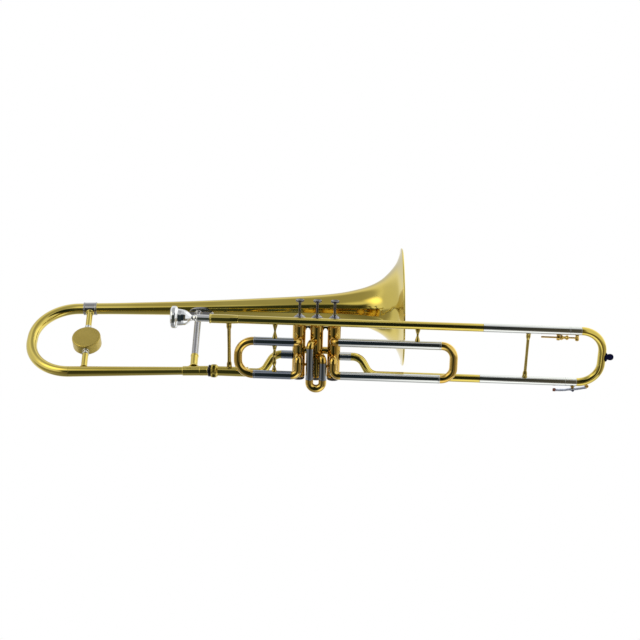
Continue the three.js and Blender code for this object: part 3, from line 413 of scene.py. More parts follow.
def knurlTree():
    tree, graph, given = newTree('ridgesRoundRing', {
        'Count': 'Int', 'Radius': 'Float', 'Height': 'Float', 'Tooth': 'Float', 'Finish': 'Material'})
    circle = graph.add('GeometryNodeMeshCircle', {}, {'Vertices': given['Count'], 'Radius': given['Radius']})
    size = graph.add('ShaderNodeCombineXYZ', {},
                     {'X': given['Tooth'], 'Y': given['Tooth'], 'Z': given['Height']})
    tooth = graph.add('GeometryNodeMeshCube', {}, {'Size': size})
    spun = graph.add('GeometryNodeTransform', {}, {'Geometry': tooth, 'Rotation': (0, 0, math.pi / 4)})
    index = graph.add('GeometryNodeInputIndex')
    turn = graph.add('ShaderNodeCombineXYZ', {}, {'Z': index * (2 * math.pi) / given['Count']})
    placed = graph.add('GeometryNodeInstanceOnPoints', {},
                       {'Points': circle, 'Instance': spun, 'Rotation': turn})
    closeTree(graph, placed, given['Finish'])
    return tree


def coilTree():
    tree, graph, given = newTree('wireCoil', {
        'Curls': 'Float', 'Radius': 'Float', 'Height': 'Float', 'Wire': 'Float', 'Steps': 'Int',
        'Sides': 'Int', 'Finish': 'Material'})
    coil = graph.add('GeometryNodeCurveSpiral', {}, {
        'Resolution': given['Steps'], 'Rotations': given['Curls'], 'Start Radius': given['Radius'],
        'End Radius': given['Radius'], 'Height': given['Height']})
    ring = graph.add('GeometryNodeCurvePrimitiveCircle', {},
                     {'Resolution': given['Sides'], 'Radius': given['Wire']})
    swept = graph.add('GeometryNodeCurveToMesh', {},
                      {'Curve': coil, 'Profile Curve': ring, 'Fill Caps': True})
    closeTree(graph, swept, given['Finish'])
    return tree


trees = {'sweep': sweepTree(), 'knurl': knurlTree(), 'coil': coilTree()}


def grown(mesh, tree, inputs, look, wall=0.0):
    # runs a tree on a mesh and returns the plain result
    inputs = {**inputs, 'Finish': looks[look]}
    piece = bpy.data.objects.new('growing', mesh)
    bpy.context.scene.collection.objects.link(piece)
    modifier = piece.modifiers.new('shape', 'NODES')
    modifier.node_group = trees[tree]
    for item in trees[tree].interface.items_tree:
        if item.in_out == 'INPUT' and item.name in inputs:
            modifier[item.identifier] = inputs[item.name]
    if wall:
        shell = piece.modifiers.new('wall', 'SOLIDIFY')
        shell.thickness = wall
        shell.offset = -1
        shell.use_even_offset = True
    graph = bpy.context.evaluated_depsgraph_get()
    result = bpy.data.meshes.new_from_object(piece.evaluated_get(graph))
    bpy.data.objects.remove(piece)
    return result


def grownPiece(name, tree, inputs, place, look, body, nodes=(), sharp=20):
    # a knurl or a coil, which its tree makes in millimetres from nothing
    mesh = grown(bpy.data.meshes.new('start'), tree, inputs, look)
    mesh.transform(Matrix.Scale(mm, 4) @ place)
    finished(mesh, name, look, body, nodes, sharp)


# Paths of tubes: the turn of a step in a bend, and where a straight run gets a ring near the bend
paths = {'step': 5, 'shortRun': 4, 'nearBend': 1.5, 'samePoint': 0.02}


def roundedPath(corners, bends, step=paths['step']):
    # straight runs between corners, each corner rounded to a bend
    spots = [Vector(corner) for corner in corners]
    path = [spots[0]]
    for i in range(1, len(spots) - 1):
        before = (spots[i] - spots[i - 1]).normalized()
        after = (spots[i + 1] - spots[i]).normalized()
        turn = before.angle(after)
        radius = bends[(i - 1) % len(bends)]
        start = spots[i] - before * radius * math.tan(turn / 2)
        if (start - path[-1]).dot(before) > paths['shortRun']:
            path.append(start - before * paths['nearBend'])
        axis = before.cross(after).normalized()
        centre = start + axis.cross(before) * radius
        steps = math.ceil(math.degrees(turn) / step)
        for k in range(steps + 1):
            path.append(centre + Matrix.Rotation(turn * k / steps, 3, axis) @ (start - centre))
        if (spots[i + 1] - path[-1]).length > radius + paths['shortRun']:
            path.append(path[-1] + after * paths['nearBend'])
    path.append(spots[-1])
    clean = [path[0]]
    for point in path[1:]:
        if (point - clean[-1]).length > paths['samePoint']:
            clean.append(point)
    return clean


def tubePiece(name, path, radii, wall, look, body, nodes=(), sides=40, place=Matrix.Identity(4)):
    # a tube of one outer radius, or of one for each point of its path, with its wall inside
    if not isinstance(radii, list):
        radii = [radii] * len(path)
    line = bpy.data.meshes.new('path')
    line.from_pydata([tuple(place @ Vector(point) * mm) for point in path],
                     [(i, i + 1) for i in range(len(path) - 1)], [])
    line.attributes.new('tubeRadius', 'FLOAT', 'POINT').data.foreach_set('value', [r * mm for r in radii])
    finished(grown(line, 'sweep', {'Sides': sides}, look, wall * mm), name, look, body, nodes, sharp=60)


def straightTube(name, start, end, radius, wall, look, body, nodes=()):
    # with one more ring at its middle
    middle = [(a + b) / 2 for a, b in zip(start, end)]
    tubePiece(name, [start, middle, end], radius, wall, look, body, nodes)


# Sizes shared by the tubes
tubes = {
    'gap': 0.3, 'wall': 0.6, 'mainRadius': 6.7, 'sleeveRadius': 7.1, 'legRadius': 6.2, 'legWall': 0.5,
    'bowRadius': 6.9, 'bowWall': 1.2, 'leadHeight': 56.3, 'leadDepth': -18.2, 'leftHeight': -38.8,
    'rightHeight': -36.4,
}
gap, wall = tubes['gap'], tubes['wall']


def leadPoint(x):
    return x, tubes['leadDepth'], tubes['leadHeight']


def rightPoint(x):
    return x, 0, tubes['rightHeight']


def leftPoint(x):
    return x, 0, tubes['leftHeight']


# Valves
valves = {
    'pitch': 28.9, 'radius': 10.9, 'bore': 9.8, 'top': 53, 'bottom': -41.2, 'upperPort': 22.5,
    'lowerPort': -6, 'lip': 0.35, 'lipLow': 3, 'lipHigh': 4, 'lipSlope': 0.4, 'crossHeight': 3.2,
    'crossRadius': 6.1, 'crossStart': 9.9, 'buttonTop': 89,
    # outlines of (radius, height) from a cap's seam with the casing, and from the button's top
    'topCap': [(7.9, -5), (9.5, -5), (9.5, 0), (10.05, 0), (10.05, 1.1), (9.45, 1.5), (9.45, 4.1),
               (10.05, 4.5), (10.05, 5.4), (9.05, 6.1), (8.1, 7.3), (6.2, 8.7), (4.6, 9.6), (4.5, 10.9),
               (2.6, 10.9), (2.6, 5.6), (7.9, 4), (7.9, -5)],
    'bottomCap': [(0, -4.5), (4.2, -4.5), (4.9, -5), (9.4, -5), (10.2, -4.2), (9.7, -3.8), (9.7, -1),
                  (10.4, -0.7), (10.4, 0), (9.5, 0), (9.5, 5), (7.9, 5), (7.9, -3.4), (0, -3.4)],
    'button': [(0, -48), (2.2, -48), (2.2, -5.8), (2.9, -5.4), (2.9, -4.4), (4.8, -3.7), (6.6, -3),
               (7, -2.3), (7, -0.7), (6.5, 0), (5.7, 0), (4.8, -0.9), (3, -1.4), (0, -1.5)],
    'topKnurl': {'Count': 56, 'Radius': 9.5, 'Height': 2.7, 'Tooth': 0.85}, 'topKnurlHeight': 2.8,
    'bottomKnurl': {'Count': 56, 'Radius': 9.7, 'Height': 2.8, 'Tooth': 0.85}, 'bottomKnurlHeight': -2.4,
}
words = ['first', 'second', 'third']
low, high = valves['bottom'], valves['top']
bore, outer, lip = valves['bore'], valves['radius'], valves['radius'] + valves['lip']
lowLip, highLip, slope = low + valves['lipLow'], high - valves['lipHigh'], valves['lipSlope']
casing = [(bore, low), (lip, low), (lip, lowLip), (outer, lowLip + slope), (outer, highLip - slope),
          (lip, highLip), (lip, high), (bore, high), (bore, low)]
for number, word in enumerate(words):
    x = (number - 1) * valves['pitch']
    turnedPiece(word + 'Casing', casing, upright(x, 0, 0), 'warmBrass', 'valve_section',
                [word + '_valve_casing'], sides=72)
    for level, seam in (('top', high + gap), ('bottom', low - gap)):
        title = word + level.title() + 'Cap'
        turnedPiece(title, valves[level + 'Cap'], upright(x, 0, seam), 'darkNickel', 'valve_section',
                    [word + '_' + level + '_cap'], sides=64)
        grownPiece(title + 'Knurl', 'knurl', valves[level + 'Knurl'],
                   upright(x, 0, seam + valves[level + 'KnurlHeight']), 'darkNickel', 'valve_section')
    # the buttons take the nickel with painted shade
    turnedPiece(word + 'Button', valves['button'], upright(x, 0, valves['buttonTop']), 'paintedShadeButtonNickel',
                word + '_valve', [word + '_button_stem'])
    for part, look in (('piston', 'nickelSilver'), ('piston_spring', 'springSteel')):
        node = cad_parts[word + '_' + part]
        node.data.materials.clear()
        node.data.materials.append(looks[look])
print('valves made')

for number, word in enumerate(words[:2]):
    start = (number - 1) * valves['pitch'] + valves['crossStart']
    end = number * valves['pitch'] - valves['crossStart']
    straightTube(word + 'CrossTube', (start, 0, valves['crossHeight']), (end, 0, valves['crossHeight']),
                 valves['crossRadius'], wall, 'warmBrass', 'valve_section', [word + '_cross_tube'])

# Slides at the valves: nickel sleeve, brass elbow, and a bow whose nickel legs are pulled out with it
slides = {
    'depth': -21.8, 'elbowRadius': 6.8, 'elbowWall': 1.1, 'elbowBend': 7.5, 'lowerBend': 11, 'elbowRun': 10,
    'elbowRise': 0.48, 'legStay': 14, 'ringRadius': 7.22, 'ringBore': 6.55, 'ringLength': 2.6,
    'ringEase': 0.5, 'bowShort': 0.5,
    'sides': {
        # the first slide's sleeves and rings take the nickel with the painted reflection
        'first': {'side': -1, 'upper': 21.6, 'lower': -35.2, 'reach': 128, 'mouth': 102.5,
                  'lowerStart': 40.2, 'travel': 45, 'look': 'duskNickel'},
        'third': {'side': 1, 'upper': 24, 'lower': -33.2, 'reach': 226.5, 'mouth': 204.8,
                  'lowerStart': 41.5, 'travel': 80, 'look': 'nickelSilver'},
    },
}
depth = slides['depth']
for word, run in slides['sides'].items():
    side = run['side']
    x, mouth, reach = (side * size for size in (valves['pitch'], run['mouth'], run['reach']))
    start = mouth + side * gap
    legEnd = side * (run['mouth'] - run['travel'] - slides['legStay'])
    elbowFar = depth + slides['elbowRun']
    for level in ('upper', 'lower'):
        z = run[level]
        title = word + level.title()
        port = valves[level + 'Port']
        if level == 'upper':
            joint = x + side * (slides['elbowBend'] + gap)
            corners = [(joint, depth, z), (x, depth, z), (x, elbowFar, z + (port - z) * slides['elbowRise'])]
            bends = [slides['elbowBend']]
        else:
            joint = side * run['lowerStart']
            corners = [(joint, depth, z), (x, depth, z), (x, depth, port), (x, elbowFar, port)]
            bends = [slides['lowerBend'], slides['elbowBend']]
        straightTube(title + 'Sleeve', (mouth, depth, z), (joint, depth, z), tubes['sleeveRadius'], wall,
                     run['look'], 'valve_section', [word + '_slide_' + level + '_sleeve'])
        tubePiece(title + 'Elbow', roundedPath(corners, bends), slides['elbowRadius'], slides['elbowWall'],
                  'warmBrass', 'valve_section')
        ringStart = mouth if side < 0 else mouth - slides['ringLength']
        bandPiece(title + 'SleeveRing', slides['ringRadius'], slides['ringBore'], slides['ringLength'],
                  alongX(ringStart, depth, z), run['look'], slides['ringEase'])
        straightTube(title + 'Leg', (start, depth, z), (legEnd, depth, z), tubes['legRadius'],
                     tubes['legWall'], 'nickelSilver', word + '_slide')
    corners = [(start, depth, run['upper']), (reach, depth, run['upper']), (reach, depth, run['lower']),
               (start, depth, run['lower'])]
    bend = run['reach'] - run['mouth'] - gap - slides['bowShort']
    tubePiece(word + 'Bow', roundedPath(corners, [bend]), tubes['bowRadius'], tubes['bowWall'], 'warmBrass',
              word + '_slide', [word + '_slide_bow'], sides=48)

second = {
    'centre': 1.2, 'spacing': 21.6, 'bottom': -41, 'bowHeight': -45.9, 'tops': {'left': 20, 'right': -4},
    'sleeveRadius': 6.3, 'elbowWall': 1.2, 'elbowSink': 0.7, 'legRadius': 5.4, 'legTop': -12.4,
    'bowRadius': 6.6, 'bowWall': 1.6, 'ringRadius': 6.42, 'ringBore': 5.75, 'ringLength': 2,
}
half, bottom = second['spacing'] / 2, second['bottom']
for word, x in (('left', second['centre'] - half), ('right', second['centre'] + half)):
    title = 'second' + word.title()
    top = second['tops'][word]
    joint = top - slides['elbowBend'] - gap
    casingWay = Vector((-x, -depth, 0)).normalized()
    end = Vector((0, 0, top)) - casingWay * (valves['radius'] - second['elbowSink'])
    # these sleeves and their rings take the nickel with the painted reflection
    straightTube(title + 'Sleeve', (x, depth, bottom), (x, depth, joint), second['sleeveRadius'], wall,
                 'duskNickel', 'valve_section', ['second_slide_' + word + '_sleeve'])
    elbow = roundedPath([(x, depth, joint), (x, depth, top), end], [slides['elbowBend']])
    tubePiece(title + 'Elbow', elbow, second['sleeveRadius'], second['elbowWall'], 'warmBrass',
              'valve_section')
    bandPiece(title + 'SleeveRing', second['ringRadius'], second['ringBore'], second['ringLength'],
              upright(x, depth, bottom), 'duskNickel', slides['ringEase'])
    straightTube(title + 'Leg', (x, depth, bottom - gap), (x, depth, second['legTop']), second['legRadius'],
                 tubes['legWall'], 'nickelSilver', 'second_slide')
corners = [(second['centre'] + side * half, depth, height) for side, height in (
    (-1, bottom - gap), (-1, second['bowHeight'] - half), (1, second['bowHeight'] - half), (1, bottom - gap))]
tubePiece('secondBow', roundedPath(corners, [half - gap]), second['bowRadius'], second['bowWall'],
          'warmBrass', 'second_slide', ['second_slide_bow'], sides=48)
print('valve slides made')

# Main tubes: leadpipe above, S-bends out of the valves, straight tubes below
mains = {
    'bendRadius': 20, 'slope': math.radians(60), 'leadStart': -128.3, 'end': 272.2, 'leftEnd': -111,
    'leftBend': 69, 'rightBend': 72.5, 'tubeStart': 57, 'stubRadius': 7, 'stubWall': 0.8, 'stubEnd': 57.8,
    'stubSink': 0.6, 'receiverStart': -172.8,
    'receiver': [(7, 0), (8.1, 0), (8.1, 57.5), (8.5, 58), (8.5, 60.3), (6.4, 60.8), (6.4, 48), (7, 47),
                 (7, 0)],
}
port = valves['lowerPort']
straightTube('leadpipeTube', leadPoint(mains['leadStart']), leadPoint(mains['end']), tubes['mainRadius'],
             wall, 'lacqueredBrass', 'valve_section', ['leadpipe'])
# the left stub takes the nickel with the painted reflection
for word, side, height, end, look in (('left', -1, tubes['leftHeight'], mains['leftEnd'], 'duskNickel'),
                                      ('right', 1, tubes['rightHeight'], mains['end'], 'nickelSilver')):
    bendStart = mains[word + 'Bend']
    bendEnd = bendStart + (port - height) / math.tan(mains['slope'])
    casingEdge = side * (valves['pitch'] + valves['radius'] - mains['stubSink'])
    corners = [(side * mains['tubeStart'], 0, port), (side * bendStart, 0, port),
               (side * bendEnd, 0, height), (end, 0, height)]
    tubePiece(word + 'MainTube', roundedPath(corners, [mains['bendRadius']]), tubes['mainRadius'], wall,
              'lacqueredBrass', 'valve_section', [word + '_main_tube'], sides=48)
    straightTube(word + 'Stub', (casingEdge, 0, port), (side * mains['stubEnd'], 0, port),
                 mains['stubRadius'], mains['stubWall'], look, 'valve_section')
turnedPiece('bellReceiver', mains['receiver'], alongX(*leftPoint(mains['receiverStart'])), 'lacqueredBrass',
            'valve_section', ease=0.4)

mouthpiece = {
    'receiverStart': -175.9, 'shown': 63.4,
    'receiver': [(6.25, 0), (7.7, 0), (8.1, 0.5), (8.1, 2), (7.7, 2.5), (7.4, 3.2), (7.5, 4.4), (7.5, 34),
                 (7.3, 40), (6.9, 46.4), (6.7, 47.3), (6.1, 47.3), (6.1, 21.8), (6.25, 0)],
    # the backbore and cup from the shank to the rim, then the outside back to the shank
    'outline': [(4.7, 84), (3.05, 34), (3.3, 27), (4.8, 22), (7.4, 17), (10.4, 10), (11.9, 4), (12.5, 1.2),
                (12.8, 0), (14, -0.25), (15.3, 0), (16.7, 0.5), (18.1, 1.7), (18.7, 3.2), (18.7, 7.2),
                (18.3, 8.6), (16.8, 10), (15.2, 10.8), (14.2, 11.6), (13.9, 14), (13.5, 18), (12.7, 22),
                (11.6, 25), (9.8, 28), (7.6, 30.5), (5.9, 32.2), (4.8, 33.6), (4.4, 35), (4.4, 37),
                (5.1, 38.2), (5.6, 39.8), (5.1, 41.2), (4.8, 41.8), (5.8, 42.6), (6, 43.6), (5.9, 43.746),
                (5.5, 84), (4.7, 84)],
}
turnedPiece('mouthpieceReceiver', mouthpiece['receiver'], alongX(*leadPoint(mouthpiece['receiverStart'])),
            'lacqueredBrass', 'valve_section', ['mouthpiece_receiver'], ease=0.4)
turnedPiece('mouthpieceBody', mouthpiece['outline'],
            alongX(*leadPoint(mouthpiece['receiverStart'] - mouthpiece['shown'])), 'silverPlate',
            'mouthpiece', ['mouthpiece'], sides=72, ease=0.5)
print('main tubes made')

# Tuning slide in front
tuning = {
    'sleeveStart': 272.5, 'capStart': 414, 'seam': 432.5, 'reach': 469.5, 'bend': 36.5, 'legStart': 318,
    'mouthRadius': 7.15, 'mouthLength': 2.6, 'trimEase': 0.15, 'bumperShare': 0.515,
    'cap': [(6.1, 0), (7.05, 0), (7.1, 0.15), (7.1, 2.3), (7.1, 18.1), (6.1, 18.1), (6.1, 0)],
    'bumper': [(0, 5.6), (7.2, 4.4), (7.9, 5.2), (7.9, 6.8), (6.6, 8), (5, 8.8), (4.5, 9.6), (4.9, 10.8),
               (5.4, 12.6), (5.35, 14.6), (4.8, 16.6), (3.6, 18.2), (1.9, 19.05), (0, 19.2)],
}
for word, point in (('upper', leadPoint), ('lower', rightPoint)):
    sleeveEnd = tuning['capStart'] - gap
    straightTube(word + 'TuningSleeve', point(tuning['sleeveStart']), point(sleeveEnd),
                 tubes['sleeveRadius'], wall, 'nickelSilver', 'valve_section', [word + '_tuning_sleeve'])
    bandPiece(word + 'TuningMouth', tuning['mouthRadius'], tubes['legRadius'] + gap, tuning['mouthLength'],
              alongX(*point(sleeveEnd - tuning['mouthLength'])), 'nickelSilver', tuning['trimEase'])
    straightTube(word + 'CrookLeg', point(tuning['legStart']), point(tuning['seam']), tubes['legRadius'],
                 tubes['legWall'], 'nickelSilver', 'tuning_slide', [word + '_crook_leg'])
    turnedPiece(word + 'CrookCap', tuning['cap'], alongX(*point(tuning['capStart'])), 'nickelSilver',
                'tuning_slide', ease=tuning['trimEase'])
corners = [leadPoint(tuning['seam']), leadPoint(tuning['reach']), rightPoint(tuning['reach']),
           rightPoint(tuning['seam'])]
tubePiece('tuningCrook', roundedPath(corners, [tuning['bend']]), tubes['bowRadius'], tubes['bowWall'],
          'lacqueredBrass', 'tuning_slide', ['tuning_crook'], sides=56)
lowEnd, highEnd = Vector(rightPoint(tuning['reach'])), Vector(leadPoint(tuning['reach']))
turnedPiece('crookBumper', tuning['bumper'], alongX(*lowEnd.lerp(highEnd, tuning['bumperShare'])),
            'blackRubber', 'tuning_slide', ['crook_bumper'], ease=0.8, sharp=70)

# Stop rod under the upper tuning sleeve
stop = {
    'drop': 12, 'post': 395, 'postDrop': 4.6, 'collar': 392.5, 'rod': 366.9, 'nuts': 398.1, 'end': 425.5,
    'endDrop': 5,
    'postOutline': [(0, 0), (2.4, 0), (3, 0.6), (3, 6.9), (2.5, 7.6), (3.4, 8.6), (3.4, 9.8), (0, 9.8)],
    'collarOutline': [(1.7, 0), (3.7, 0), (3.9, 0.4), (3.9, 4.6), (3.7, 5), (1.7, 5), (1.7, 0)],
    'rodOutline': [(0, 0), (1.1, 0), (1.45, 0.4), (1.45, 58), (0, 58)],
    'nutsOutline': [(0, 0), (3.6, 0), (4, 0.4), (4, 3.4), (3.4, 4.2), (2.5, 4.8), (2.2, 7), (2.4, 8.2),
                    (3.2, 9.2), (4, 10.4), (4, 11.6), (3.4, 12.8), (2.4, 13.6), (1.9, 14.2), (0, 14.2)],
    'endOutline': [(0, 0), (2.3, 0.1), (3.3, 1.4), (3.5, 3.8), (3.1, 6.4), (2.7, 8), (3.3, 9), (3.3, 10),
                   (0, 10)],
    'knurl': {'Count': 26, 'Radius': 3.8, 'Height': 2.2, 'Tooth': 0.5}, 'knurlPlace': 399.9,
}
y, z = tubes['leadDepth'], tubes['leadHeight'] - stop['drop']
turnedPiece('stopPost', stop['postOutline'], upright(stop['post'], y, z - stop['postDrop']), 'warmBrass',
            'valve_section', ease=0.3)
turnedPiece('stopPostCollar', stop['collarOutline'], alongX(stop['collar'], y, z), 'warmBrass',
            'valve_section')
turnedPiece('stopRod', stop['rodOutline'], alongX(stop['rod'], y, z), 'warmBrass', 'tuning_slide',
            ['stop_rod'])
turnedPiece('stopNuts', stop['nutsOutline'], alongX(stop['nuts'], y, z), 'warmBrass', 'tuning_slide',
            ease=0.3)
grownPiece('stopNutKnurl', 'knurl', stop['knurl'], alongX(stop['knurlPlace'], y, z), 'warmBrass',
           'tuning_slide')
turnedPiece('stopEndPost', stop['endOutline'], upright(stop['end'], y, z - stop['endDrop']), 'warmBrass',
            'tuning_slide', ease=0.4)
print('tuning slide made')

# Water key on the lower cap of the crook
key = {
    'pivot': (426.5, 0, -48.9), 'nibAngle': math.radians(21), 'nibHeight': 2.2, 'nibSink': 0.6,
    'nib': [(1.4, 0), (3.3, 0), (2.8, 0.9), (2.7, 2.8), (1.4, 2.8), (1.4, 0)],
    'pad': [(0, 0), (2.9, 0), (3, 0.3), (3, 1.4), (0, 1.4)],
    'cup': [(0, 0.9), (3.3, 0.9), (3.3, 0), (3.9, 0), (3.9, 1.6), (3.2, 2.4), (0, 2.6)], 'cupLift': 0.7,
    # the lever's centre line as (height, place) about the pivot, its half thicknesses and its width
    'lever': [(-1.9, -31), (-2.3, -24), (-1.9, -14), (-0.6, -6), (0, 0), (0.6, 6)], 'armLift': 1.9,
    'armSlope': (-0.6, -4), 'thumb': 1.6, 'middle': 2.6, 'arm': 1.75, 'swell': 4, 'width': 3.9, 'edge': 0.35,
    'thumbPlace': (-29.6, 0, -1.9),
    'thumbCork': [(0, -2.5), (2.3, -2.5), (2.7, -2), (2.7, 1.6), (2.3, 2.1), (0, 2.1)],
    'pin': [(0, 0), (1.5, 0), (1.7, 0.4), (1.7, 1.2), (1, 1.5), (1, 10), (1.4, 10.3), (1.4, 11.2),
            (0, 11.4)], 'pinPlace': -5.6,
    # half of a cheek's outline in x and z
    'cheek': [(2.6, 8.2), (2.9, 6.2), (1.9, 3), (2.1, 0), (1.5, -1.6)], 'cheekFoot': (0, -2.2),
    'cheekWidth': 1.4, 'cheekEdge': 0.2, 'cheekPlace': 3.1,
    'saddle': [(0, 0), (3.4, 0), (4.4, 1), (4.4, 1.7), (3.6, 2.4), (0, 2.4)], 'saddleSink': 0.9,
    'spring': {'Curls': 5.0, 'Radius': 2.1, 'Height': 3.4, 'Wire': 0.32, 'Steps': 24, 'Sides': 10},
    'springPlace': -7.9,
}
pivot = Vector(key['pivot'])
upSlope = (Vector(leadPoint(0)) - Vector(rightPoint(0))).normalized()
bendCentre = Vector(rightPoint(tuning['reach'] - tuning['bend'])) + upSlope * tuning['bend']
nibWay = -upSlope * math.cos(key['nibAngle']) + Vector((math.sin(key['nibAngle']), 0, 0))
nibFoot = bendCentre + nibWay * (tuning['bend'] + tubes['bowRadius'] - key['nibSink'])
nibTip = nibFoot + nibWay * (key['nibHeight'] + key['nibSink'])
padBase = nibTip + nibWay * gap
cupTop = padBase + nibWay * key['cupLift']
turnedPiece('keyNib', key['nib'], aimed(nibFoot, nibTip), 'warmBrass', 'tuning_slide', ease=0.3)
turnedPiece('keyPad', key['pad'], aimed(padBase, padBase + nibWay), 'pressedCork', 'water_key', ['key_pad'],
            ease=0.2)
turnedPiece('keyCup', key['cup'], aimed(cupTop, cupTop + nibWay), 'warmBrass', 'water_key', ease=0.3)


def leverThickness(x):
    if abs(x) < key['swell']:
        return key['arm'] + (key['middle'] - key['arm']) * (1 - (abs(x) / key['swell']) ** 2)
    return key['thumb'] if x < 0 else key['arm']


armEnd = cupTop + nibWay * key['armLift'] - pivot
leverLine = smoothLine([*key['lever'], (armEnd.z + key['armSlope'][0], armEnd.x + key['armSlope'][1]),
                        (armEnd.z, armEnd.x)])
upperEdge = [(pivot.x + x, pivot.z + z + leverThickness(x)) for z, x in leverLine]
lowerEdge = [(pivot.x + x, pivot.z + z - leverThickness(x)) for z, x in reversed(leverLine)]
finished(plateMesh(upperEdge + lowerEdge, key['width'], key['edge']), 'keyLever', 'keySteel', 'water_key',
         ['key_lever'], sharp=30)
turnedPiece('keyThumbCork', key['thumbCork'], upright(*(pivot + Vector(key['thumbPlace']))), 'pressedCork',
            'water_key', ease=0.3)
turnedPiece('keyPin', key['pin'], alongY(pivot.x, key['pinPlace'], pivot.z), 'springSteel', 'tuning_slide',
            ease=0.2)
cheek = [(-x, z) for x, z in key['cheek']] + [key['cheekFoot']] + key['cheek'][::-1]
for word, side, nodes in (('Left', -1, ['key_saddle']), ('Right', 1, ())):
    place = upright(pivot.x, side * key['cheekPlace'], pivot.z)
    finished(plateMesh(cheek, key['cheekWidth'], key['cheekEdge'], place), 'keyCheek' + word, 'warmBrass',
             'tuning_slide', nodes, sharp=30)
turnedPiece('keySaddle', key['saddle'],
            upright(pivot.x, 0, tubes['rightHeight'] - tubes['sleeveRadius'] - key['saddleSink']),
            'warmBrass', 'tuning_slide', ease=0.4)
grownPiece('keySpring', 'coil', key['spring'], alongY(pivot.x, key['springPlace'], pivot.z), 'springSteel',
           'tuning_slide', ['key_spring'], sharp=60)
print('water key made')

# Braces: turned rods with a socket at each end, and small feet on the tubes
braces = {
    # half of each outline: radius, height above the tube, and the share of the free length added to it
    'rod': [(4.6, -1.2, 0), (4.4, 0.6, 0), (3.8, 1.8, 0), (3.8, 6.5, 0), (3.1, 9.4, 0), (2.6, 11, 0),
            (2.4, 0, 0.46)],
    'hourglass': [(4.6, -1.2, 0), (4.2, 0.6, 0), (3.7, 2.2, 0), (3.2, 4, 0), (2.21, 0, 0.36),
                  (1.82, 0, 0.46)],
    'baluster': [(4.6, -1.2, 0), (4.2, 0.6, 0), (3.4, 1.8, 0), (3.1, 4.6, 0), (2.08, 7, 0), (2.08, 8.6, 0),
                 (3.3, 0, 0.3), (3.4, 0, 0.36), (2.47, 0, 0.45)],
    'left': -144, 'first': -68, 'third': 165.7, 'tuning': 346.5, 'leadReceiver': 7.5, 'bellReceiver': 8.1,
    'thicker': 0.5,
}


def bracePiece(name, start, end, startRadius, endRadius, style, node, thicker=0):
    # runs from the tube of startRadius about the start to that of endRadius about the end
    length = (Vector(end) - Vector(start)).length
    span = length - startRadius - endRadius
    half = [(radius + thicker, height + share * span) for radius, height, share in braces[style]]
    half.insert(0, (0, half[0][1]))
    profile = raised(half, startRadius) + raised(half, length - endRadius, -1)[::-1]
    # every brace takes the brass with painted shade
    turnedPiece(name, profile, aimed(start, end), 'paintedShadeBraceBrass', 'valve_section', [node], sides=40)


firstX, thirdX, tuningX = braces['first'], braces['third'], braces['tuning']
upper, lower = ((firstX, depth, slides['sides']['first'][level]) for level in ('upper', 'lower'))
main, sleeve = tubes['mainRadius'], tubes['sleeveRadius']
bracePiece('leftBrace', leadPoint(braces['left']), leftPoint(braces['left']), braces['leadReceiver'],
           braces['bellReceiver'], 'rod', 'left_brace', braces['thicker'])
bracePiece('firstUpperBrace', leadPoint(firstX), upper, main, sleeve, 'hourglass', 'first_slide_upper_brace')
bracePiece('firstLowerBrace', upper, lower, sleeve, sleeve, 'baluster', 'first_slide_lower_brace')
bracePiece('thirdBrace', leadPoint(thirdX), (thirdX, depth, slides['sides']['third']['upper']), main, sleeve,
           'hourglass', 'third_slide_brace')
bracePiece('tuningBrace', leadPoint(tuningX), rightPoint(tuningX), sleeve, sleeve, 'rod', 'tuning_brace')
print('braces made')

# Bell section, tilted about the collar
bell = {
    'tilt': math.radians(-61), 'lean': math.radians(-2), 'twist': math.radians(-1.2), 'collar': -174.7,
    'spacing': 151.8, 'mouth': 323.6, 'radius': 102.42, 'length': 543, 'wall': 0.6,
    'bead': 1.7, 'beadFrom': -60, 'beadTurn': 270, 'beadSteps': 8, 'underBead': 2,
    # shares of the length, back from the mouth, and of the radius
    'shares': [(0, 1), (0.0015, 0.985), (0.005, 0.92), (0.0105, 0.83), (0.0165, 0.755), (0.0245, 0.69),
               (0.043, 0.575), (0.068, 0.46), (0.1, 0.373), (0.132, 0.318), (0.195, 0.25), (0.26, 0.2155),
               (0.322, 0.195), (0.45, 0.166), (0.575, 0.14), (0.705, 0.119), (0.83, 0.106),
               (0.965, 0.0965), (1, 0.0965)],
    'ferruleStart': -231,
    'ferrule': [(9.7, 0), (10.7, 0), (11.2, 0.5), (11.2, 2.2), (10.8, 2.7), (10.8, 20.3), (11.2, 20.8),
                (11.2, 22.5), (10.7, 23), (10.1, 23), (9.7, 11.5), (9.7, 0)],
    'bowTop': -219.7, 'bowStart': -238.5, 'bowReach': 71.5, 'bowBend': 71.3, 'bowStep': 3, 'bowRadius': 9.4,
    'bowTaper': 0.45,
}
spacing, rimRadius, bead = bell['spacing'], bell['radius'], bell['bead']
section = (Matrix.Translation(leftPoint(bell['collar'])) @ Matrix.Rotation(bell['tilt'], 4, 'X')
           @ Matrix.Rotation(bell['lean'], 4, 'Y') @ Matrix.Rotation(bell['twist'], 4, 'Z'))
outerLine = smoothLine([(rimRadius * out, bell['length'] * back) for back, out in bell['shares']])
innerLine = []
for i, (radius, back) in enumerate(outerLine):
    (r0, b0), (r1, b1) = outerLine[max(i - 1, 0)], outerLine[min(i + 1, len(outerLine) - 1)]
    run = math.hypot(r1 - r0, b1 - b0)
    innerLine.append((radius - bell['wall'] * (b1 - b0) / run, back + bell['wall'] * (r1 - r0) / run))
bellLine = [(radius, -back) for radius, back in reversed(outerLine[bell['underBead']:])]
for k in range(bell['beadSteps'] + 1):
    turn = math.radians(bell['beadFrom'] + bell['beadTurn'] * k / bell['beadSteps'])
    bellLine.append((rimRadius - bead + bead * math.cos(turn), -bead * math.sin(turn)))
bellLine += [(radius, -back) for radius, back in innerLine[bell['underBead'] + 1:-1]]
bellLine += [(innerLine[-1][0], -bell['length']), bellLine[0]]
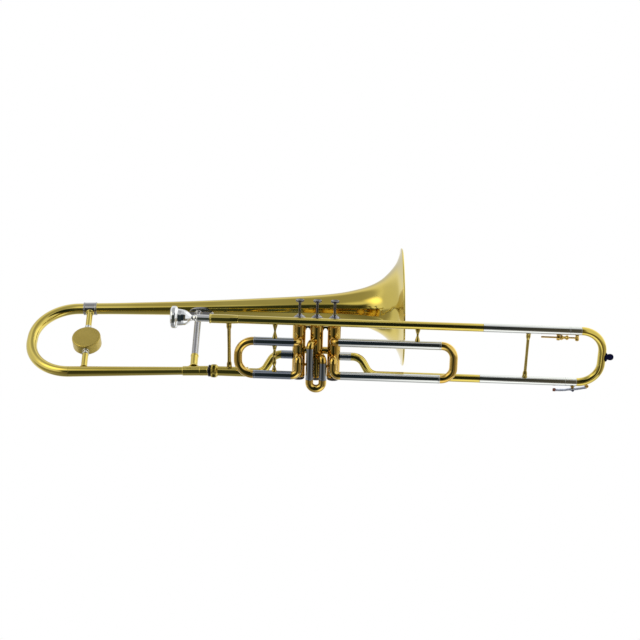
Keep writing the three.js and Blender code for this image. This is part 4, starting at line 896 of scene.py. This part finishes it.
turnedPiece('bellShell', bellLine, section @ alongX(bell['mouth'], 0, spacing), 'lacqueredBrass',
            'bell_section', ['bell'], sides=144, ease=0, sharp=60)
# the ferrule's nickel is painted darker: painted shade
turnedPiece('bellFerrule', bell['ferrule'], section @ alongX(bell['ferruleStart'], 0, spacing), 'paintedShadeNickel',
            'bell_section', ['bell_ferrule'], sides=56)
bowX = bell['bowStart'] - bell['bowReach']
corners = [(bell['bowTop'], 0, spacing), (bowX, 0, spacing), (bowX, 0, 0), (bell['bowStart'], 0, 0)]
bowPath = roundedPath(corners, [bell['bowBend']], bell['bowStep'])
bowRadii = [bell['bowRadius'] - bell['bowTaper'] * (1 - point.z / spacing) for point in bowPath]
tubePiece('bellBow', bowPath, bowRadii, wall, 'lacqueredBrass', 'bell_section', ['bell_bow'], sides=64,
          place=section)

# Lower tube of the bell section: a cone from the bow to its foot, and a sleeve up to the collar
lower = {'start': -238.2, 'large': 8.93, 'small': 6.8, 'foot': -47.5, 'sleeve': 8}
lowerLine = [(8.3, lower['start']), (lower['large'], lower['start']), (lower['small'], lower['foot']),
             (7.7, -47.3), (lower['sleeve'], -46.9), (lower['sleeve'], -19), (8.2, -18.6), (8.2, -7),
             (8.35, -6.6), (8.35, -4.9), (6.2, -4.9), (6.2, lower['foot']), (8.3, lower['start'])]
turnedPiece('bellLowerTube', lowerLine, section @ alongX(0, 0, 0), 'lacqueredBrass', 'bell_section',
            ['bell_lower_tube'], sides=56, ease=0.2)

# Counterweight on its rod, and the rod's collars and feet
weight = {
    'top': -219.9, 'foot': -213.4, 'height': 72.6, 'radius': 24.3, 'rod': 5.3, 'rodGap': 8, 'rodSink': 0.8,
    'disc': [(0, -10), (22.7, -10), (23.9, -9.5), (24.3, -8.3), (24.3, 8.3), (23.9, 9.5), (22.7, 10),
             (0, 10)],
    # outlines of a collar between disc and rod, and of a foot on the surface of a tube
    'collar': [(0, 0), (5.6, 0), (6.2, 0.5), (6.2, 1.6), (5.6, 2), (5.6, 7.8), (6, 8.2), (6, 9.8), (0, 9.8)],
    'collarReach': 9,
    'seat': [(0, -1.4), (7.4, -1.4), (7.2, 0.2), (6.2, 0.9), (5.4, 1.5), (5.2, 2.6), (0, 2.6)],
    'topSeat': 11.2,
}
rodFoot, rodTop = Vector((weight['foot'], 0, 0)), Vector((weight['top'], 0, spacing))
rodPlace = section @ aimed(rodFoot, rodTop)
discCentre = rodFoot.lerp(rodTop, weight['height'] / spacing)
turnedPiece('counterweightDisc', weight['disc'], section @ alongY(*discCentre), 'satinBrass', 'bell_section',
            ['counterweight'], sides=96, ease=0.5, sharp=50)
footShare = (weight['foot'] - lower['foot']) / (bell['bowStart'] - lower['foot'])
footSeat = lower['small'] + footShare * (lower['large'] - lower['small'])
topSeat = (rodTop - rodFoot).length - weight['topSeat']
rod, sink, space = weight['rod'], weight['rodSink'], weight['rodGap']
discLow, discHigh = weight['height'] - weight['radius'], weight['height'] + weight['radius']
for word, low, high, nodes in (('Lower', footSeat - sink, discLow - space, ['counterweight_rod']),
                               ('Upper', discHigh + space, topSeat + sink, ())):
    turnedPiece('weightRod' + word, [(0, low), (rod, low), (rod, high), (0, high)], rodPlace,
                'lacqueredBrass', 'bell_section', nodes, ease=0.2)
for word, start in (('Lower', discLow - weight['collarReach']), ('Upper', discHigh - sink)):
    turnedPiece('weightCollar' + word, raised(weight['collar'], start), rodPlace, 'nickelSilver',
                'bell_section', ease=0.25)
for word, seat, way in (('Lower', footSeat, 1), ('Upper', topSeat, -1)):
    turnedPiece('weightFoot' + word, raised(weight['seat'], seat, way), rodPlace, 'lacqueredBrass',
                'bell_section', ease=0.4)

# Hand brace: nickel tube on an oval flange, brass socket on the lower tube
hand = {
    'top': -30, 'foot': -29.5, 'tubeStart': 36.2,
    # outlines of the tube's foot, of its top under the bell, and of the socket
    'tubeFoot': [(0, 0), (6.1, 0), (6.1, 1.5), (5.8, 1.9)],
    'tubeTop': [(5.8, -5), (6.3, -4.6), (6.3, -2.6), (7.4, -1.2), (7.8, 1), (0, 1)],
    'socket': [(0, 7.4), (8.4, 7.4), (8.4, 8.4), (7.4, 9.2), (6.7, 10.4), (6.3, 12), (6.3, 33), (6.8, 33.5),
               (6.8, 35.6), (0, 35.7)],
    'flange': {'place': -25.6, 'length': 44, 'width': 24, 'thickness': 1.5},
    'saddle': {'place': -29.5, 'length': 22, 'width': 15, 'thickness': 1.1},
    'lift': 0.1, 'thinEdge': 0.45, 'edgeShare': 0.18, 'steps': 8, 'sides': 40,
}


def bellRadiusAt(x):
    back = bell['mouth'] - x
    for (r0, b0), (r1, b1) in zip(outerLine, outerLine[1:]):
        if b0 <= back <= b1:
            return r0 + (r1 - r0) * (back - b0) / (b1 - b0)


def ovalPlate(name, plate, look, radiusAt, axisHeight, down):
    # an oval sheet that hugs a round tube, thicker at its middle
    points, rings = [], []
    numbers = range(hand['steps'] + 1)
    for thickness, order in ((plate['thickness'], numbers), (0, reversed(numbers))):
        for number in order:
            share = number / hand['steps']
            count = hand['sides'] if number else 1
            full = 1 - max(0.0, 1 - (1 - share) / hand['edgeShare']) ** 2
            height = hand['lift'] + thickness * (hand['thinEdge'] + (1 - hand['thinEdge']) * full)
            rings.append(range(len(points), len(points) + count))
            for k in range(count):
                turn = 2 * math.pi * k / count
                x = plate['place'] + share * math.cos(turn) * plate['length'] / 2
                angle = share * math.sin(turn) * plate['width'] / 2 / radiusAt(x)
                far = radiusAt(x) + height
                points.append((x, far * math.sin(angle), axisHeight + down * far * math.cos(angle)))
    finished(solidMesh(points, ringFaces(rings), section), name, look, 'bell_section', sharp=50)


handFoot, handTop = Vector((hand['foot'], 0, 0)), Vector((hand['top'], 0, spacing))
handPlace = section @ aimed(handFoot, handTop)
topEnd = (handTop - handFoot).length - bellRadiusAt(hand['top'])
# the tube and its flange take nickel painted darker: painted shade
turnedPiece('handBraceTube', raised(hand['tubeFoot'], hand['tubeStart']) + raised(hand['tubeTop'], topEnd),
            handPlace, 'paintedShadeNickel', 'bell_section', ['hand_brace_tube'])
turnedPiece('handBraceSocket', hand['socket'], handPlace, 'lacqueredBrass', 'bell_section',
            ['hand_brace_socket'])
ovalPlate('handBraceFlange', hand['flange'], 'paintedShadeNickel', bellRadiusAt, spacing, -1)
ovalPlate('handBraceSaddle', hand['saddle'], 'lacqueredBrass', lambda x: lower['sleeve'], 0, 1)
print('bell section made')

# Collar between the two sections
collar = {
    'tenon': [(5.5, -4.2), (9.4, -4.2), (9.9, -3.7), (9.9, -0.5), (9.4, 0), (6.7, 0.1), (6.5, 30), (5.5, 30),
              (5.5, -4.2)],
    'nut': [(7, 0.3), (10.3, 0.3), (11, 0.8), (11, 2.2), (10.5, 2.8), (10.5, 7.4), (11, 8), (11, 9.2),
            (10.2, 9.9), (9.4, 10.2), (9.2, 11.5), (8.5, 11.5), (8.5, 1.8), (7, 1.6), (7, 0.3)],
    'knurl': {'Count': 60, 'Radius': 10.5, 'Height': 4.6, 'Tooth': 0.75}, 'knurlPlace': 5.1,
}
collarPlace = alongX(*leftPoint(bell['collar']))
# the tenon's shoulder is painted near-black: painted shade in the gap at the collar
turnedPiece('collarTenon', collar['tenon'], collarPlace, 'paintedShadeBlackRing', 'bell_section', ['collar_tenon'],
            sides=56, ease=0.2)
turnedPiece('collarNut', collar['nut'], collarPlace, 'lacqueredBrass', 'collar_nut', ['collar_nut'],
            sides=64)
grownPiece('collarNutKnurl', 'knurl', collar['knurl'], collarPlace @ upright(0, 0, collar['knurlPlace']),
           'lacqueredBrass', 'collar_nut')

# Small fittings between the casings and under the leadpipe
fittings = {
    'reach': 4.35, 'spacerHeights': (-22, -24), 'spacer': [(3, 4.35), (3, 3.25), (1.9, 2.45), (1.6, 0)],
    'webTop': 49, 'webFoot': 35.8, 'archHeight': 38.6, 'archRadius': 2.9, 'archSteps': 8, 'webWidth': 2.2,
    'webEdge': 0.2, 'seatFrom': (-9.8, 50), 'seatTo': (-14.5, 52.6),
    'seat': [(0, -1), (5.4, -1), (4.3, 1.2), (3.6, 3), (3.8, 5), (5.2, 7.4), (0, 7.4)],
}
reach = fittings['reach']
spacer = [(radius, -height) for radius, height in fittings['spacer']] + fittings['spacer'][-2::-1]
for number, word in enumerate(words[:2]):
    x = (number - 0.5) * valves['pitch']
    turnedPiece(word + 'Spacer', [(0, -reach), *spacer, (0, reach)],
                alongX(x, 0, fittings['spacerHeights'][number]), 'warmBrass', 'valve_section', ease=0.3)
    web = [(x - reach, fittings['webTop']), (x - reach, fittings['webFoot'])]
    for k in range(fittings['archSteps'] + 1):
        turn = math.pi * (1 - k / fittings['archSteps'])
        web.append((x + fittings['archRadius'] * math.cos(turn),
                    fittings['archHeight'] + fittings['archRadius'] * math.sin(turn)))
    web += [(x + reach, fittings['webFoot']), (x + reach, fittings['webTop'])]
    finished(plateMesh(web, fittings['webWidth'], fittings['webEdge']), word + 'Web', 'warmBrass',
             'valve_section', sharp=30)
for number, word in enumerate(words):
    x = (number - 1) * valves['pitch']
    place = aimed((x, *fittings['seatFrom']), (x, *fittings['seatTo']))
    turnedPiece(word + 'LeadSeat', fittings['seat'], place, 'warmBrass', 'valve_section', ease=0.5)
print('collar and fittings made')

# Camera where the photograph was taken
view = {
    'elevation': math.radians(15), 'yaw': math.radians(1.4), 'roll': math.radians(1.58),
    'place': (61.1, -2303.6, 672.6), 'focalPixels': 1446.79, 'photoWidth': 640, 'sensor': 36,
    'nearest': 0.05, 'farthest': 200,
}
tilt, yaw, roll = view['elevation'], view['yaw'], view['roll']
ahead = Vector((-math.sin(yaw) * math.cos(tilt), math.cos(yaw) * math.cos(tilt), -math.sin(tilt)))
right = Vector((math.cos(yaw), math.sin(yaw), 0))
up = right.cross(ahead)
across = right * math.cos(roll) + up * math.sin(roll)
upward = up * math.cos(roll) - right * math.sin(roll)
cameraData = bpy.data.cameras.new('camera')
cameraData.sensor_width = view['sensor']
cameraData.lens = view['focalPixels'] / view['photoWidth'] * view['sensor']
cameraData.clip_start, cameraData.clip_end = view['nearest'], view['farthest']
camera = bpy.data.objects.new('camera', cameraData)
camera.matrix_world = (Matrix.Translation(Vector(view['place']) * mm)
                       @ Matrix((across, upward, -ahead)).transposed().to_4x4())
bpy.context.scene.collection.objects.link(camera)
bpy.context.scene.camera = camera

# Studio: a pale floor, and cards that only polish mirrors, each with tones at places in x, grey or coloured
studio = {
    'floorHeight': -0.9, 'floorHalf': 40, 'floorColour': 0.86, 'whiteEdges': (0.25, 0.55),
    'diffuseWorld': 0.75, 'cardSteps': 24, 'boardRadius': 1.3, 'boardSoft': 0.16,
    # the dark board round the front: x, and its lower and upper edge in degrees about the long axis
    'board': [(-1.35, -46, 46), (-1.0, -46, 46), (-0.8, -46, 44), (-0.6, -50, 42), (-0.3, -58, 54),
              (-0.14, -56, 64), (0.06, -46, 74), (0.18, -37, 78), (0.34, -27, 78), (0.6, -23, 74),
              (0.8, -23, 66), (0.96, -24, 60)],
    'boardTones': [(-1.15, (0.42, 0.41, 0.38)), (-0.98, (0.36, 0.35, 0.31)), (-0.86, (0.12, 0.12, 0.1)),
                   (-0.65, (0.04, 0.045, 0.04)), (-0.48, (0.07, 0.075, 0.055)), (-0.2, (0.03, 0.04, 0.036)),
                   (0.07, (0.012, 0.02, 0.027)), (0.28, (0.02, 0.024, 0.022)), (0.44, (0.03, 0.032, 0.03)),
                   (0.56, (0.08, 0.07, 0.045)), (0.8, (0.13, 0.11, 0.07))],
    # from left to right, front to back, height, width of the soft edge, tones
    'flatCards': {
        'floorCard': ((-1.3, 1.5), (-1.8, 0.6), -0.86, 0.1, [
            (-1.1, 0.4), (-0.6, 0.24), (-0.3, 0.27), (-0.08, 0.42), (0.08, 0.85), (0.24, (1.4, 1.4, 1.36)),
            (0.5, (1.5, 1.5, 1.45)), (0.8, 1.2), (1.2, 0.75)]),
        'floorStripe': ((-1.3, 1.5), (-0.4, 0.7), -0.84, 0.36, [
            (-1.1, 0.3), (-0.1, 0.36), (0.1, 0.5), (0.3, (0.62, 0.62, 0.61)), (0.9, 0.62), (1.2, 0.5)]),
    },
    # azimuth from the camera's side, elevation, distance, width of the soft edge, tones
    'roundCards': {
        'rearCard': ((138, 222), (-24, 36), 1.85, 0.35, [
            (-1.0, 0.82), (-0.4, 0.72), (-0.12, (0.75, 0.74, 0.68)), (0.16, (1.05, 1.03, 0.95)),
            (0.34, (1.05, 1.05, 1.0)), (1.0, 1.0)]),
        'backCard': ((100, 168), (-12, 84), 1.5, 0.35, [(0.0, (1.45, 1.45, 1.4)), (1.0, (1.45, 1.45, 1.4))]),
        'ceilingCard': ((-205, 24), (40, 118), 1.35, 0.22, [(-0.8, 0.52), (-0.2, 0.42), (0.1, 0.62)]),
        'leftCard': ((-150, -58), (-40, 50), 1.7, 0.3, [(-1.0, 0.78), (0.0, 0.74)]),
        'lampCard': ((-90, -40), (14, 60), 1.25, 0.45, [(-1.0, (2.3, 2.15, 1.5)), (0.0, (2.3, 2.15, 1.5))]),
        'edgeCard': ((86, 158), (-40, 66), 1.6, 0.4, [(0.0, 1.5), (1.0, 1.5)]),
        'leftHorizon': ((-100, -12), (-36, 0), 1.45, 0.16, [
            (-1.25, (0.36, 0.34, 0.3)), (-0.95, (0.24, 0.22, 0.19)), (0.0, (0.14, 0.13, 0.11))]),
        'rightHorizon': ((8, 112), (-46, 2), 1.45, 0.18, [
            (0.4, (0.16, 0.13, 0.09)), (1.0, (0.2, 0.17, 0.12)), (1.3, (0.55, 0.52, 0.45))]),
    },
    'lamp': {'place': (-1.0, -1.4, 2.6), 'width': 1.2, 'depth': 0.9, 'watts': 14},
}


def stagePlane(name, points, faces, material):
    mesh = bpy.data.meshes.new(name)
    mesh.from_pydata(points, [], faces)
    mesh.materials.append(material)
    plane = bpy.data.objects.new(name, mesh)
    bpy.context.scene.collection.objects.link(plane)
    return plane


def whiteRays(graph):
    # 1 for rays from the camera, from polish and through glass, so that metal shows the white too
    path = graph.add('ShaderNodeLightPath')
    seen = path['Is Camera Ray']
    for ray in ('Is Glossy Ray', 'Is Transmission Ray'):
        seen = graph.add('ShaderNodeMath', {'operation': 'MAXIMUM'}, {0: seen, 1: path[ray]})
    return seen


floorLook, graph = newMaterial('paleFloor')
place = graph.add('ShaderNodeTexCoord')['Object']
distance = graph.add('ShaderNodeVectorMath', {'operation': 'LENGTH'}, {0: place}, out='Value')
far = between(graph, studio['whiteEdges'], distance) * whiteRays(graph)
matt = graph.add('ShaderNodeBsdfDiffuse', {}, {'Color': (*[studio['floorColour']] * 3, 1)})
white = graph.add('ShaderNodeEmission', {}, {'Color': (1, 1, 1, 1), 'Strength': 1.0})
mixed = graph.add('ShaderNodeMixShader', {}, {0: far, 1: matt, 2: white})
graph.add('ShaderNodeOutputMaterial', {}, {'Surface': mixed})
half = studio['floorHalf']
floor = stagePlane('floor', [(-half, -half, 0), (half, -half, 0), (half, half, 0), (-half, half, 0)],
                   [(0, 1, 2, 3)], floorLook)
floor.location.z = studio['floorHeight']


def ramped(share):
    share = min(max(share, 0), 1)
    return share * share * (3 - 2 * share)


def mirrorCard(name, columns, tones, soft):
    # a sheet seen by mirror rays alone; its tone runs along x and it fades out at its edges
    across, along = len(columns) - 1, len(columns[0]) - 1
    points = [spot for column in columns for spot in column]
    fades = [ramped(min(i, across - i) / across / soft) * ramped(min(k, along - k) / along / soft)
             for i in range(across + 1) for k in range(along + 1)]
    rows = along + 1
    faces = [(i * rows + k, i * rows + k + 1, (i + 1) * rows + k + 1, (i + 1) * rows + k)
             for i in range(across) for k in range(along)]
    low, high = min(point[0] for point in points), max(point[0] for point in points)
    stops = []
    for x, tone in tones:
        colour = tone if isinstance(tone, tuple) else (tone, tone, tone)
        stops.append((min(max((x - low) / (high - low), 0), 1), (*colour, 1)))
    look, graph = newMaterial(name)
    parts = graph.add('ShaderNodeSeparateXYZ', {}, {0: graph.add('ShaderNodeTexCoord')['Object']})
    colour = graph.add('ShaderNodeValToRGB', {'stops': stops}, {0: (parts['X'] - low) / (high - low)})
    lit = graph.add('ShaderNodeEmission', {}, {'Color': colour, 'Strength': 1.0})
    fade = graph.add('ShaderNodeAttribute', {'attribute_name': 'fade'})['Fac']
    clear = graph.add('ShaderNodeBsdfTransparent')
    mixed = graph.add('ShaderNodeMixShader', {}, {0: fade, 1: clear, 2: lit})
    graph.add('ShaderNodeOutputMaterial', {}, {'Surface': mixed})
    card = stagePlane(name, points, faces, look)
    card.data.attributes.new('fade', 'FLOAT', 'POINT').data.foreach_set('value', fades)
    card.visible_camera = card.visible_diffuse = card.visible_shadow = card.visible_transmission = False


def shares(start, end, steps=studio['cardSteps']):
    return [start + (end - start) * k / steps for k in range(steps + 1)]


def boardSpot(x, rise):
    turn = math.radians(rise)
    return x, -studio['boardRadius'] * math.cos(turn), studio['boardRadius'] * math.sin(turn)


def skySpot(azimuth, elevation, distance):
    turn, rise = math.radians(azimuth), math.radians(elevation)
    return (distance * math.sin(turn) * math.cos(rise), -distance * math.cos(turn) * math.cos(rise),
            distance * math.sin(rise))


boardEdges = []
for start, end in zip(studio['board'], studio['board'][1:]):
    boardEdges += [start, [(a + b) / 2 for a, b in zip(start, end)]]
boardEdges.append(studio['board'][-1])
mirrorCard('darkBoard', [[boardSpot(x, rise) for rise in shares(low, high)] for x, low, high in boardEdges],
           studio['boardTones'], studio['boardSoft'])
for name, (azimuths, elevations, distance, soft, tones) in studio['roundCards'].items():
    mirrorCard(name, [[skySpot(azimuth, rise, distance) for rise in shares(*elevations)]
                      for azimuth in shares(*azimuths)], tones, soft)
for name, (acrossEnds, depthEnds, height, soft, tones) in studio['flatCards'].items():
    mirrorCard(name, [[(x, y, height) for y in shares(*depthEnds)] for x in shares(*acrossEnds)], tones, soft)

world = bpy.data.worlds.new('studio')
world.use_nodes = True
world.node_tree.nodes.clear()
graph = Graph(world.node_tree)
strength = studio['diffuseWorld'] + (1 - studio['diffuseWorld']) * whiteRays(graph)
back = graph.add('ShaderNodeBackground', {}, {'Color': (1, 1, 1, 1), 'Strength': strength})
graph.add('ShaderNodeOutputWorld', {}, {'Surface': back})
bpy.context.scene.world = world

lampData = bpy.data.lights.new('keyLamp', 'AREA')
lampData.shape = 'RECTANGLE'
lampData.size, lampData.size_y = studio['lamp']['width'], studio['lamp']['depth']
lampData.energy = studio['lamp']['watts']
lamp = bpy.data.objects.new('keyLamp', lampData)
lamp.location = studio['lamp']['place']
lamp.rotation_mode = 'QUATERNION'
lamp.rotation_quaternion = (-Vector(studio['lamp']['place'])).to_track_quat('-Z', 'Y')
lamp.visible_glossy = False
bpy.context.scene.collection.objects.link(lamp)
bpy.context.scene.view_settings.view_transform = 'Standard'
print('camera and studio made')
